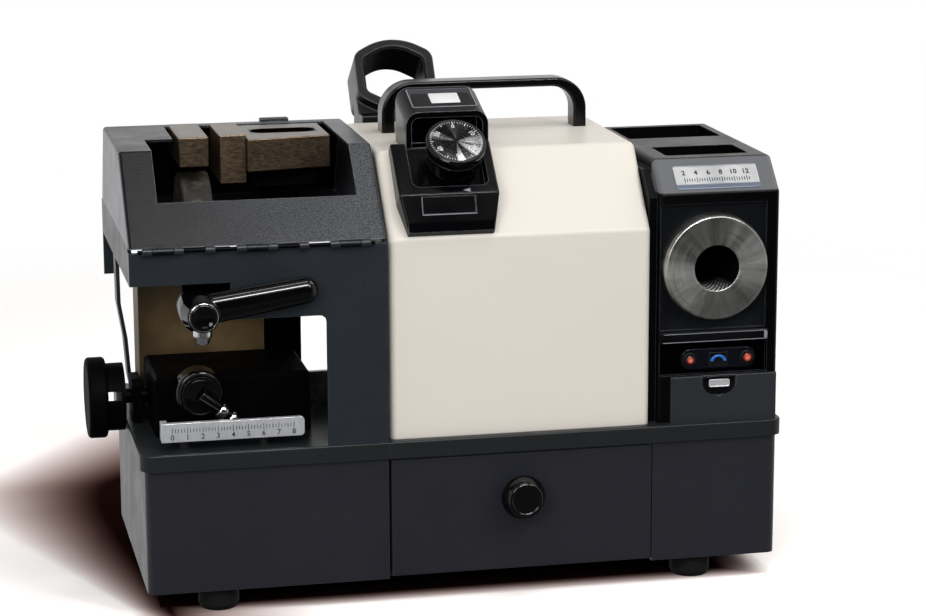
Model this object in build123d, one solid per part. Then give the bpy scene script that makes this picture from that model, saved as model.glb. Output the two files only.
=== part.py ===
from build123d import *
import math
import os

# Tap and drill grinder for a bench. Millimetres, +X to the right, +Y to the back, +Z up.
# The origin is on the bench, under the middle of the base.

# Clearances
FIT = 0.2             # between fixed pieces that slip over or into each other
GAP = 0.3             # between pieces that move past each other
RUN = 0.05            # radial clearance of a shaft or pin that turns in its bore
CUT = 1.0             # how far a cutting solid runs past what it cuts

# Base
FOOT_H = 15.0
FOOT_D = 27.0
FOOT_TAPER = 1.5
FOOT_INSET_LEFT = 48.0
FOOT_INSET_RIGHT = 56.0
FOOT_INSET_Y = 17.0
FOOT_BORE_D = 12.0
FOOT_BORE_H = 9.0
SCREW_HEAD_H = 3.0    # head of every cap screw
SCREW_HEAD_RATIO = 0.85  # head radius over screw diameter
M5 = 5.0
M4 = 4.0
BASE_D = 197.0
BASE_H = 92.0         # from the feet to the underside of the deck
BASE_WALL = 3.0
BASE_FLOOR = 1.2
CORNER_R = 6.0
DECK_T = 3.0
DECK_EDGE_R = 1.2
RIM_H = 11.0
RIM_OUT = 3.0         # how far the rim stands out from the base
SEAM_GAP = 0.4        # between the tap half and the drill half of the base

# Widths of the units that stand side by side on the base
TAP_W = 161.0
COVER_GAP = 1.7       # from the seam to the motor cover
COVER_W = 177.6
STRIP_W = 5.8         # recessed strip between the cover and the drill housing
HOUSING_W = 83.6

# Drawer
DRAWER_W = 179.0
DRAWER_H = 80.4
DRAWER_OFF = 1.5      # from the seam
DRAWER_FRONT_T = 6.0
DRAWER_EDGE_R = 1.0
DRAWER_REVEAL = 0.5
DRAWER_DEPTH = 176.0
DRAWER_TRAY_H = 64.0
DRAWER_TRAY_T = 1.2
RUNNER_T = 1.5
RUNNER_LEDGE = 9.0
RUNNER_LEG = 18.0
RUNNER_UP = 3.0       # ledge underside above the base floor
PULL_D = 30.0
PULL_L = 23.0
PULL_NECK_D = 13.0
PULL_UP = 53.5        # above the drawer front's lower edge
PULL_OFF = -3.0       # from the middle of the drawer

# Motor cover
COVER_FRONT_H = 134.0
COVER_H = 186.3
COVER_SLOPE_D = 42.4
COVER_FRONT_INSET = 3.1
COVER_BACK_INSET = 20.5
COVER_T = 2.0
COVER_R = 5.0
COVER_SEAM_Y = 20.0
COVER_SEAM_GAP = 0.5
VENT_COUNT = 8
VENT_W = 60.0
VENT_H = 3.5
VENT_PITCH = 8.0
VENT_UP = 40.0        # lowest vent above the deck
VENT_OFF = 25.0       # from the middle of the cover

# Carry handle
HANDLE_L = 145.0
HANDLE_H = 34.8
HANDLE_DEEP = 18.0
HANDLE_BAR_T = 6.0
HANDLE_LEG_T = 9.0
HANDLE_R = 22.0
HANDLE_EDGE_R = 1.6
HANDLE_SET = 2.0      # behind the cover's seam
HANDLE_OFF = 2.0      # from the middle of the cover
HANDLE_SCREW_L = 12.0

# Chuck holder behind the motor cover
HOLDER_X = 42.8       # holder's middle from the left side of the cover
HOLDER_AF = 57.5
HOLDER_L = 34.0       # ring's length along its axis
HOLDER_TILT = 35.0    # degrees that the axis leans up from level
HOLDER_UP = 37.5      # ring's axis from the foot, along the ring's face
HOLDER_SET = 2.0      # foot of the ring's face behind the cover
HOLDER_REAR = 66.0    # ring's upright rear face behind the cover
HOLDER_ROUND = 10.0
HOLDER_CROWN = 38.0   # rounding of the top corner
HOLDER_HEX_AF = 43.0
HOLDER_HEX_ROUND = 5.0
HOLDER_HEX_CROWN = 25.0
HOLDER_EDGE = 1.6     # bevel round the socket
HOLDER_FOOT_SET = 9.0  # foot's front behind the ring's face
HOLDER_BLOCK_D = 32.0
HOLDER_BLOCK_H = 36.0
HOLDER_BLOCK_UP = 4.0
HOLDER_SCREW_PITCH = 34.0
HOLDER_SCREW_L = 12.0

# Dial unit on the cover's slope
DIAL_X = 41.8         # unit's middle from the left side of the cover
DIAL_W = 67.0
DIAL_FOOT_W = 57.0
DIAL_TOE = 2.2        # from the lower edge of the slope
DIAL_LEN = 65.0       # along the slope
DIAL_TOE_H = 5.0
DIAL_STEP_U = 5.5
DIAL_STEP_H = 8.1
DIAL_RIM_U = 23.0     # rim's front corner from the toe
DIAL_RIM_H = 14.8
DIAL_TOP_H = 9.0
DIAL_EDGE_R = 1.5
DIAL_FLOOR = 2.0
DIAL_PANEL_X = (-18.5, 17.0)
DIAL_PANEL_S = (5.5, 17.0)  # recess in the front face, from the step up the face
DIAL_PANEL_DEEP = 1.5
DIAL_LIP = 6.0
DIAL_POCKET_W = 51.0
DIAL_POCKET_X = 2.0   # pocket's middle from the unit's middle
DIAL_POCKET_R = 5.0
KNOB_OFF = 7.0        # knob's axis from the unit's middle
KNOB_U = 51.2         # where the knob's foot is, up the slope from the toe
KNOB_LIFT = 6.0       # and out from the slope
KNOB_LEAN = 14.0      # degrees that the axis leans up from square to the slope
KNOB_D = 38.0
KNOB_L = 17.0
KNOB_FOOT_D = 34.5
KNOB_BAND = (11.5, 12.6)  # groove round the knob, from its foot
KNOB_BAND_DEEP = 0.8
DIAL_PLATE_D = 40.0
DIAL_PLATE_T = 3.0
DIAL_SHAFT_D = 8.0
DIAL_SHAFT_IN = 18.0  # shaft below the knob
DIAL_SHAFT_UP = 10.0  # shaft inside the knob
VISOR_X = 48.3        # visor's middle from the left side of the cover
VISOR_W = 56.0
VISOR_D = 36.4
VISOR_SET = 0.4       # behind the cover's upper edge
VISOR_FRONT_H = 25.0
VISOR_BACK_H = 36.5
VISOR_R = 9.0
VISOR_WALL = 4.0
VISOR_FLOOR = 1.5
VISOR_CAVE = 18.4
VISOR_CAVE_R = 5.0

# Spindle and motor
SPINDLE_D = 12.0
SPINDLE_Y = 20.0
SPINDLE_UP = 130.0    # axis above the deck
SPINDLE_END = 4.0     # shaft beyond each wheel nut
MOTOR_D = 96.0
MOTOR_L = 130.0
MOTOR_SHELL_T = 3.0
STATOR_L = 72.0
ROTOR_D = 52.0
ROTOR_GAP = 0.6
ROTOR_L = 76.0
BELL_L = 14.0
BELL_HUB_D = 44.0
BELL_RIM_L = 6.0
BELL_HOLE_GAP = 1.5
BEARING_D = 32.0
BEARING_W = 10.0
CRADLE_T = 10.0
CRADLE_W = 70.0
CRADLE_INSET = 14.0
CRADLE_FOOT_T = 4.0
CRADLE_DROP = 26.0    # top of the cradle below the spindle
SHAFT_HOLE_D = 24.0
WHEEL_SET = 2.0       # tap wheel's left face inside the fixed block's
TAP_WHEEL_D = 70.0
TAP_WHEEL_W = 20.0
DRILL_WHEEL_ROOM = 3.3  # from the drill wheel up to the tool trays
DRILL_WHEEL_W = 15.0
WHEEL_EDGE = 1.0
FLANGE_D = 30.0
FLANGE_T = 4.0
NUT_AF = 19.0
NUT_H = 7.0

# Drill housing
HOUSING_FRONT_H = 156.5
HOUSING_H = 177.3
HOUSING_SLOPE_D = 21.8
HOUSING_FRONT_INSET = 3.9
HOUSING_BACK_INSET = 23.5
HOUSING_T = 2.5
HOUSING_R = 3.5
STRIP_INSET = 7.0     # strip behind the housing's front and under its top
PANEL_OFF = 1.0       # recessed panel from the housing's left side
PANEL_W = 73.4
PANEL_H = 85.4
PANEL_DEEP = 2.0
PANEL_UP = 64.0
LIP_W = 75.0
LIP_H = 6.5
LIP_OUT = 2.5
LIP_UP = 55.5
LIP_R = 1.0
CONTROL_W = 75.0
CONTROL_H = 22.8
CONTROL_UP = 32.5
CONTROL_DEEP = 4.0
PORT_OFF = 37.6       # port's axis from the housing's left side
PORT_UP = 107.0
PORT_FLANGE_D = 72.5
PORT_FLANGE_T = 10.0
PORT_EDGE = 1.2
PORT_BORE_D = 30.9
PORT_LAND = 5.0
PORT_BUSH_D = 44.0
PORT_BUSH_L = 40.0
PORT_GROOVES = 24
PORT_GROOVE_DEEP = 1.6
PORT_GROOVE_W = 2.6
PORT_TWIST = 24.0     # degrees that each groove turns along the bush
POD_OFF = 42.1        # control panel's middle from the housing's left side
POD_W = 52.0
POD_H = 14.4
POD_R = 6.2
POD_UP = 43.0         # control panel's middle above the deck
POD_DEEP = 9.0
POD_SET = 1.0         # control panel's face behind the housing's front
POD_EDGE_R = 0.8
POD_FLANGE = 2.0      # flange behind the housing's wall
BUTTON_D = 6.4
BUTTON_OUT = 2.6
BUTTON_CAP = 5.4
BUTTON_EDGE = 0.9
BUTTON_STEM_D = 3.0
BUTTON_PITCH = 40.2
BUTTON_TRAVEL = 2.0
ROCKER_W = 12.0
ROCKER_H = 8.6
ROCKER_T = 4.0
ROCKER_OUT = 1.0
ROCKER_ROOM = 0.9
ROCKER_PIN_D = 2.0
ROCKER_PIN_L = 1.5
BOARD_T = 1.6
BOARD_W = 70.0
BOARD_H = 30.0
BOARD_KEY_H = 2.0
BOARD_KEY_W = 6.0
BOARD_POST_D = 5.0
BOARD_POST_IN = 3.0
LOWER_W = 74.4
LOWER_H = 31.8
LOWER_T = 2.0
LOWER_EDGE_R = 0.8
LOWER_OFF = 0.8       # from the housing's right side
BADGE_W = 24.0
BADGE_H = 14.5
BADGE_DEEP = 1.0
TRAY_WALL = 2.0
TRAY_DEEP = 10.0
TRAY_R = 2.5
TRAY_OFF = 42.1       # trays' middle from the housing's left side
REAR_TRAY_W = 67.0
REAR_TRAY_D = 52.0
REAR_TRAY_BACK = 9.0  # from the housing's back
FRONT_TRAY_W = 58.0
FRONT_TRAY_D = 37.0
FRONT_TRAY_SET = 10.8  # behind the slope
INLET_W = 28.0
INLET_H = 20.0
INLET_L = 22.0
INLET_WALL = 3.0
INLET_FLANGE = 5.0
INLET_FLANGE_T = 2.5
INLET_UP = 45.0       # inlet's middle above the base's underside
INLET_OFF = 42.0      # inlet's middle from the right end of the base
INLET_PIN = 2.0
INLET_PIN_L = 14.0
INLET_PIN_PITCH = 7.0

# Tap frame and hood
FRAME_OUT = 6.8       # frame beyond the left end of the base
FRAME_T = 3.0
FRAME_H = 134.0
FRAME_SEAM = 0.6      # from the seam
FRAME_COLUMN_W = 40.0
WINDOW_H = 88.0
WINDOW_LEFT_H = 112.5
WINDOW_STEP = 64.8    # higher part of the window, from the left
WINDOW_R = 5.0
BAND_T = 2.5
BAND_BACK = 3.5       # from the back of the base
REAR_BAR_H = 14.0
EAR_W = 8.0
EAR_H = 54.0
HINGE_OUT = 2.6       # hinge axis in front of the frame
HINGE_UP = 1.2        # and above it
HINGE_D = 4.8
HINGE_PIN_D = 2.6
HINGE_TABS = 8
HINGE_TAB_W = 6.0
HINGE_PITCH = 20.2
HINGE_START = 11.5    # first tab from the left side of the frame
HOOD_LIFT = 2.6       # hood's lower edge above the frame's front plate
HOOD_H = 54.6
HOOD_SLOPE_D = 55.1
HOOD_TOP_BACK = 31.5  # rear edge of the top, from the back of the base
HOOD_BACK = 6.0       # rear lower edge, from the back of the base
HOOD_T = 2.0
HOOD_R = 2.5
CUT_LEFT = 21.8       # cut-out from the hood's left side
CUT_RIGHT = 15.0
CUT_FRONT = 25.3      # cut-out's lower edge behind the hood's front edge
CUT_SHELF = 48.2      # cut-out on the top, behind the slope
CUT_ROOM = 3.0        # round the clamp blocks
TAB_W = 20.0
TAB_H = 3.0
TAB_D = 5.0
TAB_SET = 3.0
STRUT_T = 2.5
STRUT_W = 16.0
STRUT_Y = 30.0
STRUT_TOP = 3.0       # below the top of the band
STRUT_STEPS = ((0.5, 74.0), (4.5, 49.0), (6.5, 21.0), (10.5, 0.0))
STRUT_FOOT = 13.0

# Tap fixture
ANVIL_OFF = 43.8      # from the left side of the hood
ANVIL_W = 20.0
ANVIL_H = 20.0
ANVIL_Y = -10.0
JAW_GAP = 8.0
JAW_W = 18.0
JAW_H = 33.0
JAW_Y = -5.0
JAW_PROUD = 2.0       # blocks above the hood
BLOCK_EDGE = 0.6
BAR_W = 57.0
BAR_H = 22.0
BAR_SKEW = 10.0
BAR_Y = -5.0
BLOCK_BACK = 50.0     # back of the moving blocks
BAR_POCKET_W = 45.0
BAR_POCKET_D = 20.0
BAR_POCKET_DEEP = 13.0
BAR_POCKET_Y = 12.0
BAR_SLOT_W = 18.0
BAR_SCREW_D = 6.0
BAR_SCREW_L = 16.0
CAP_OFF = 6.0         # cap plate from the left end of the slotted bar
CAP_W = 42.0
CAP_T = 12.0
CAP_Y = 0.0
POST_OFF = 7.0        # post from the left end of the cap plate
POST_W = 27.0
POST_Y = 28.0
RAIL_Y = 54.0
RAIL_T = 8.0
RAIL_DROP = 5.0       # rail's top below the hood's top
RAIL_END = 3.0        # rail's right end inside the slotted bar's
GUARD_Y = 20.0
GUARD_T = 1.5
GUARD_H = 90.0
GUARD_OFF = 6.4       # plate's left edge from the left end of the base
GUARD_FLANGE = 18.0
GUARD_SCREW_UP = (25.0, 65.0)
SHIELD_W = 16.0
SHIELD_OFF = 1.5      # from the post
SHIELD_Y = 8.0
SHIELD_D = 42.0
SHIELD_H = 22.0
SHIELD_T = 1.5
SHIELD_BAR = 4.0
CARRIAGE_W = 104.0
CARRIAGE_D = 71.0
CARRIAGE_H = 40.0
CARRIAGE_BACK = 4.0   # from the guard plate
CARRIAGE_OFF = 12.0   # from the left end of the base
CARRIAGE_EDGE = 2.0
FEED_UP = 16.0        # feed screw above the deck
FEED_Y = 0.0
FEED_D = 10.0
FEED_KNOB_D = 55.0
FEED_KNOB_T = 13.0
FEED_KNOB_R = 2.5
FEED_HUB_D = 46.0
FEED_HUB_L = 9.0
FEED_BACK_T = 3.0
FEED_SLOT = 6.0
FEED_SLOT_TILT = 14.0
FEED_ROOM = 1.0       # from the rim
FEED_BLOCK_T = 6.0
FEED_BLOCK_W = 28.0
FEED_BLOCK_H = 30.0
FEED_BLOCK_OFF = 1.0  # from the left end of the base
LOCK_OFF = 28.4       # from the carriage's left side
LOCK_UP = 32.0        # above the deck
LOCK_D = 32.0
LOCK_L = 16.0
LOCK_R = 3.0
LOCK_ARM_D = 10.0
LOCK_ARM_L = 26.0
LOCK_ARM_ANGLE = -40.0
LOCK_ARM_OUT = 1.5    # arm's middle in front of the hub
LOCK_STUD_D = 8.0
LOCK_STUD_IN = 15.0
SCALE_OFF = 18.8      # from the left side of the frame
SCALE_L = 94.0
SCALE_H = 12.5
SCALE_T = 4.0
SCALE_R = 2.5         # rounding of the free end
SCALE_UP = 6.0
SCALE_SET = 9.3       # behind the frame's face
SCALE_BEND = 10.0
SCALE_POSTS = (16.0, 68.0)
SCALE_POST_D = 7.0
LEVER_OFF = 45.0      # from the left side of the frame
LEVER_UP = 94.3
LEVER_HUB_D = 20.5
LEVER_HUB_FRONT = 18.5  # hub in front of the frame
LEVER_BOSS_D = 27.0
LEVER_BOSS_OUT = 3.0
LEVER_BOSS_IN = 14.3
LEVER_ARM_L = 76.5
LEVER_ARM_UP = 2.5    # arm's middle above the hub's axis
LEVER_ROOT = 20.0
LEVER_END = 17.5
LEVER_ARM_GAP = 4.0   # arm in front of the frame
LEVER_ARM_T = 11.5
LEVER_ANGLE = 8.5
LEVER_EDGE = 4.3
LEVER_EDGE_R = 1.2
LEVER_STUD_D = 12.0
LEVER_STUD_IN = 13.0
BRACKET_LEFT = 9.5    # bracket's sides from the lever's axis
BRACKET_RIGHT = 24.0
BRACKET_L = 15.0
BRACKET_DROP = 9.5    # below the lever's axis
BRACKET_R = 6.0
BRACKET_TOP = 4.0     # below the top of the frame
BRACKET_FLANGE = 10.0

# Places that follow from the sizes
BASE_W = TAP_W + COVER_GAP + COVER_W + GAP + STRIP_W + HOUSING_W
X_L = -BASE_W / 2
X_R = BASE_W / 2
Y_F = -BASE_D / 2
Y_B = BASE_D / 2
SEAM_X = X_L + TAP_W
DECK_Z0 = FOOT_H + BASE_H
DECK_Z = DECK_Z0 + DECK_T
FLOOR_Z = FOOT_H + BASE_FLOOR

COVER_X0 = SEAM_X + COVER_GAP
COVER_X1 = COVER_X0 + COVER_W
COVER_CX = (COVER_X0 + COVER_X1) / 2
COVER_Y0 = Y_F + COVER_FRONT_INSET
COVER_Y1 = Y_B - COVER_BACK_INSET
COVER_TOP = DECK_Z + COVER_H
COVER_EDGE_Y = COVER_Y0 + COVER_SLOPE_D
COVER_EDGE_Z = DECK_Z + COVER_FRONT_H
STRIP_X0 = COVER_X1 + GAP
HOUSING_X0 = STRIP_X0 + STRIP_W
HOUSING_X1 = HOUSING_X0 + HOUSING_W
HOUSING_Y0 = Y_F + HOUSING_FRONT_INSET
HOUSING_Y1 = Y_B - HOUSING_BACK_INSET
HOUSING_TOP = DECK_Z + HOUSING_H
HOUSING_EDGE_Z = DECK_Z + HOUSING_FRONT_H

MOUTH_X1 = SEAM_X + DRAWER_OFF + DRAWER_W + DRAWER_REVEAL
MOUTH_Z1 = FLOOR_Z + GAP + DRAWER_H + DRAWER_REVEAL
DRAWER_X0 = SEAM_X + DRAWER_OFF
DRAWER_X1 = DRAWER_X0 + DRAWER_W
DRAWER_Z0 = FLOOR_Z + GAP
PULL_X = (DRAWER_X0 + DRAWER_X1) / 2 + PULL_OFF
PULL_Z = DRAWER_Z0 + PULL_UP
TRAY_Y0 = Y_F + DRAWER_FRONT_T
RUNNER_X0 = SEAM_X + SEAM_GAP / 2 + BASE_WALL
RUNNER_Z0 = FLOOR_Z + RUNNER_UP
TRAY_X0 = RUNNER_X0 + RUNNER_T + GAP
TRAY_X1 = MOUTH_X1 - RUNNER_T - GAP
TRAY_Z0 = RUNNER_Z0 + RUNNER_T + GAP

FRAME_X0 = X_L - FRAME_OUT
FRAME_X1 = SEAM_X - FRAME_SEAM
FRAME_Y0 = Y_F - RIM_OUT + FIT
FRAME_Y1 = FRAME_Y0 + FRAME_T
FRAME_Z1 = DECK_Z + FRAME_H
BAND_Y1 = Y_B - BAND_BACK
HOOD_Z0 = FRAME_Z1 + HOOD_LIFT
HOOD_Z1 = HOOD_Z0 + HOOD_H
HOOD_SLOPE_Y = FRAME_Y0 + HOOD_SLOPE_D
BAND_Z1 = HOOD_Z0 - GAP
HINGE_Y = FRAME_Y0 - HINGE_OUT
HINGE_Z = FRAME_Z1 + HINGE_UP

SPINDLE_Z = DECK_Z + SPINDLE_UP
MOTOR_X0 = COVER_CX - MOTOR_L / 2
MOTOR_X1 = COVER_CX + MOTOR_L / 2

BLOCK_Z1 = HOOD_Z1 + JAW_PROUD
ANVIL_X0 = FRAME_X0 + ANVIL_OFF
ANVIL_X1 = ANVIL_X0 + ANVIL_W
JAW_X0 = ANVIL_X1 + JAW_GAP
JAW_X1 = JAW_X0 + JAW_W
BAR_X0 = JAW_X1
BAR_X1 = BAR_X0 + BAR_W
BAR_CX = (BAR_X0 + BAR_X1) / 2
BAR_Z0 = HOOD_Z1 - BAR_H
BAR_POCKET_CY = BAR_POCKET_Y + BAR_POCKET_D / 2
CAP_X0 = BAR_X0 + CAP_OFF
CAP_X1 = CAP_X0 + CAP_W
CAP_Z1 = BAR_Z0 - GAP
POST_X0 = CAP_X0 + POST_OFF
POST_X1 = POST_X0 + POST_W
RAIL_Y1 = RAIL_Y + RAIL_T
RAIL_Z1 = HOOD_Z1 - RAIL_DROP
TAP_WHEEL_X0 = ANVIL_X0 + WHEEL_SET
TAP_WHEEL_X1 = TAP_WHEEL_X0 + TAP_WHEEL_W
PORT_X = HOUSING_X0 + PORT_OFF
PORT_Z = DECK_Z + PORT_UP
DRILL_WHEEL_D = 2 * (HOUSING_TOP - TRAY_DEEP - TRAY_WALL - DRILL_WHEEL_ROOM - SPINDLE_Z)
DRILL_WHEEL_X1 = PORT_X - FLANGE_T
DRILL_WHEEL_X0 = DRILL_WHEEL_X1 - DRILL_WHEEL_W
SPINDLE_X0 = TAP_WHEEL_X0 - FLANGE_T - NUT_H - SPINDLE_END
SPINDLE_X1 = DRILL_WHEEL_X1 + FLANGE_T + NUT_H + SPINDLE_END
POD_X = HOUSING_X0 + POD_OFF
POD_Z = DECK_Z + POD_UP
POD_Y0 = HOUSING_Y0 + POD_SET
POD_Y1 = POD_Y0 + POD_DEEP
BUTTON_XS = (POD_X - BUTTON_PITCH / 2, POD_X + BUTTON_PITCH / 2)
BOARD_Y0 = POD_Y1 + BUTTON_TRAVEL + BOARD_KEY_H
PANEL_X0 = HOUSING_X0 + PANEL_OFF

CARRIAGE_X0 = X_L + CARRIAGE_OFF
CARRIAGE_X1 = CARRIAGE_X0 + CARRIAGE_W
CARRIAGE_Y1 = GUARD_Y - CARRIAGE_BACK
CARRIAGE_Y0 = CARRIAGE_Y1 - CARRIAGE_D
CARRIAGE_Z0 = DECK_Z + GAP
FEED_Z = DECK_Z + FEED_UP
FEED_X1 = X_L - RIM_OUT - FEED_ROOM
LOCK_X = CARRIAGE_X0 + LOCK_OFF
LOCK_Z = DECK_Z + LOCK_UP
LEVER_X = FRAME_X0 + LEVER_OFF
LEVER_Z = DECK_Z + LEVER_UP
STRUT_X = FRAME_X0 + BAND_T
HANDLE_CX = COVER_CX + HANDLE_OFF
HANDLE_Y0 = COVER_SEAM_Y + HANDLE_SET
HANDLE_CY = HANDLE_Y0 + HANDLE_DEEP / 2
HANDLE_XS = (HANDLE_CX - HANDLE_L / 2 + HANDLE_LEG_T / 2, HANDLE_CX + HANDLE_L / 2 - HANDLE_LEG_T / 2)
HOLDER_CX = COVER_X0 + HOLDER_X
HOLDER_XS = (HOLDER_CX - HOLDER_SCREW_PITCH / 2, HOLDER_CX + HOLDER_SCREW_PITCH / 2)
HOLDER_SCREW_Z = COVER_TOP - HOLDER_BLOCK_H / 2
DIAL_CX = COVER_X0 + DIAL_X
VISOR_CX = COVER_X0 + VISOR_X
VISOR_Y0 = COVER_EDGE_Y + VISOR_SET
SLOPE_RISE = COVER_TOP - COVER_EDGE_Z
SLOPE_LEN = math.hypot(COVER_SLOPE_D, SLOPE_RISE)


# Helpers

def block(x0, x1, y0, y1, z0, z1):
    return Pos((x0 + x1) / 2, (y0 + y1) / 2, (z0 + z1) / 2) * Box(x1 - x0, y1 - y0, z1 - z0)


def rod(axis, d, start, end, a, b):
    """Cylinder along X, Y or Z; a and b are the two other coordinates in X, Y, Z order."""
    mid = (start + end) / 2
    if axis == "X":
        return Pos(mid, a, b) * Rot(0, 90, 0) * Cylinder(d / 2, end - start)
    if axis == "Y":
        return Pos(a, mid, b) * Rot(90, 0, 0) * Cylinder(d / 2, end - start)
    return Pos(a, b, mid) * Cylinder(d / 2, end - start)


def prism_x(points, x0, x1):
    """Solid with one outline, given as (y, z), from x0 to x1."""
    face = make_face(Polyline([(x0, y, z) for y, z in points], close=True))
    return extrude(face, amount=x1 - x0, dir=(1, 0, 0))


def prism_y(points, y0, y1):
    """Solid with one outline, given as (x, z), from y0 to y1."""
    face = make_face(Polyline([(x, y0, z) for x, z in points], close=True))
    return extrude(face, amount=y1 - y0, dir=(0, 1, 0))


def prism_z(points, z0, z1):
    """Solid with one outline, given as (x, y), from z0 to z1."""
    face = make_face(Polyline([(x, y, z0) for x, y in points], close=True))
    return extrude(face, amount=z1 - z0, dir=(0, 0, 1))


def turned(profile, at, along):
    """Solid of revolution; the profile lists (radius, height) along its axis."""
    face = make_face(Polyline([(r, 0, h) for r, h in profile], close=True))
    return Plane(origin=at, z_dir=along).location * revolve(face, axis=Axis.Z)


def screw(at, along, d, length):
    """Cap screw; the underside of its head is at the given point, its tip points along the axis."""
    head = d * SCREW_HEAD_RATIO
    profile = [(0, -SCREW_HEAD_H), (head, -SCREW_HEAD_H), (head, 0), (d / 2, 0), (d / 2, length)]
    return turned(profile + [(0, length)], at, along)


def group(solids):
    return Compound(children=list(solids))


def spindle_hole(x0, x1):
    return rod("X", SHAFT_HOLE_D, x0 - CUT, x1 + CUT, SPINDLE_Y, SPINDLE_Z)


# Base

def base_tray(x0, x1, side):
    """Open box; side is 0 when its left corners are rounded and -1 when its right ones are."""
    outer = block(x0, x1, Y_F, Y_B, FOOT_H, DECK_Z0)
    outer = fillet(outer.edges().filter_by(Axis.Z).group_by(Axis.X)[side], CORNER_R)
    inner = block(x0 + BASE_WALL, x1 - BASE_WALL, Y_F + BASE_WALL, Y_B - BASE_WALL, FLOOR_Z, DECK_Z0 + CUT)
    inner = fillet(inner.edges().filter_by(Axis.Z).group_by(Axis.X)[side], CORNER_R / 2)
    tray = outer - inner
    for x, y in foot_places():
        tray -= rod("Z", M5 + FIT, FOOT_H - CUT, FLOOR_Z + CUT, x, y)
    return tray


def foot_places():
    return [(x, y) for x in (X_L + FOOT_INSET_LEFT, X_R - FOOT_INSET_RIGHT)
            for y in (Y_F + FOOT_INSET_Y, Y_B - FOOT_INSET_Y)]


def tap_base():
    return base_tray(X_L, SEAM_X - SEAM_GAP / 2, 0)


def main_base():
    x0 = SEAM_X + SEAM_GAP / 2
    tray = base_tray(x0, X_R, -1)
    tray -= block(x0 - CUT, MOUTH_X1, Y_F - CUT, TRAY_Y0 + DRAWER_REVEAL, FOOT_H - CUT, MOUTH_Z1)
    tray += block(MOUTH_X1, MOUTH_X1 + BASE_WALL, Y_F + BASE_WALL, Y_B - BASE_WALL, FLOOR_Z, DECK_Z0)
    half_w = INLET_W / 2 + FIT
    half_h = INLET_H / 2 + FIT
    x = X_R - INLET_OFF
    z = FOOT_H + INLET_UP
    return tray - block(x - half_w, x + half_w, Y_B - BASE_WALL - CUT, Y_B + CUT, z - half_h, z + half_h)


def deck(x0, x1, skirt_x0, skirt_x1, side):
    outer = block(x0, x1, Y_F - RIM_OUT, Y_B + RIM_OUT, DECK_Z - RIM_H, DECK_Z)
    outer = fillet(outer.edges().filter_by(Axis.Z).group_by(Axis.X)[side], CORNER_R + RIM_OUT)
    seam_x = x1 if side == 0 else x0
    top = outer.faces().sort_by(Axis.Z)[-1].edges()
    outer = fillet([edge for edge in top if abs(edge.center().X - seam_x) > CUT], DECK_EDGE_R)
    inner = block(skirt_x0, skirt_x1, Y_F - FIT, Y_B + FIT, DECK_Z - RIM_H - CUT, DECK_Z0)
    inner = fillet(inner.edges().filter_by(Axis.Z).group_by(Axis.X)[side], CORNER_R + FIT)
    return outer - inner


def tap_deck():
    x1 = SEAM_X - SEAM_GAP / 2
    return deck(X_L - RIM_OUT, x1, X_L - FIT, x1 + CUT, 0)


def main_deck():
    x0 = SEAM_X + SEAM_GAP / 2
    return deck(x0, X_R + RIM_OUT, x0 - CUT, X_R + FIT, -1)


def feet():
    r = FOOT_D / 2
    profile = [(0, 0), (r - FOOT_TAPER, 0), (r, FOOT_TAPER * 2), (r, FOOT_H), (0, FOOT_H)]
    pads = []
    for x, y in foot_places():
        pad = turned(profile, (x, y, 0), (0, 0, 1)) - rod("Z", FOOT_BORE_D, -CUT, FOOT_BORE_H, x, y)
        pads.append(pad - rod("Z", M5 + FIT, 0, FOOT_H + CUT, x, y))
    return group(pads)


def power_inlet():
    x = X_R - INLET_OFF
    z = FOOT_H + INLET_UP
    w = INLET_W / 2
    h = INLET_H / 2
    body = block(x - w, x + w, Y_B - INLET_L, Y_B, z - h, z + h)
    rim = block(x - w - INLET_FLANGE, x + w + INLET_FLANGE, Y_B, Y_B + INLET_FLANGE_T, z - h - INLET_FLANGE,
                z + h + INLET_FLANGE)
    rim = fillet(rim.edges().filter_by(Axis.Y), INLET_FLANGE / 2)
    well = block(x - w + INLET_WALL, x + w - INLET_WALL, Y_B - INLET_L + INLET_WALL, Y_B + INLET_FLANGE_T + CUT,
                 z - h + INLET_WALL, z + h - INLET_WALL)
    socket = body + rim - well
    y0 = Y_B - INLET_L + INLET_WALL - CUT
    for i in (-1, 0, 1):
        px = x + i * INLET_PIN_PITCH
        pz = z + INLET_PIN * (1 if i == 0 else -1)
        socket += block(px - INLET_PIN / 2, px + INLET_PIN / 2, y0, y0 + INLET_PIN_L, pz - INLET_PIN, pz + INLET_PIN)
    return socket


# Drawer

def drawer_front():
    panel = block(DRAWER_X0, DRAWER_X1, Y_F, TRAY_Y0, DRAWER_Z0, DRAWER_Z0 + DRAWER_H)
    panel = fillet(panel.faces().sort_by(Axis.Y)[0].edges(), DRAWER_EDGE_R)
    return panel - rod("Y", M5 + FIT, Y_F - CUT, TRAY_Y0 + CUT, PULL_X, PULL_Z)


def drawer_tray():
    t = DRAWER_TRAY_T
    y1 = TRAY_Y0 + DRAWER_DEPTH
    z1 = TRAY_Z0 + DRAWER_TRAY_H
    tray = block(TRAY_X0, TRAY_X1, TRAY_Y0, y1, TRAY_Z0, z1)
    tray -= block(TRAY_X0 + t, TRAY_X1 - t, TRAY_Y0 + t, y1 - t, TRAY_Z0 + t, z1 + CUT)
    return tray - rod("Y", M5 + FIT, TRAY_Y0 - CUT, TRAY_Y0 + t + CUT, PULL_X, PULL_Z)


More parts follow.
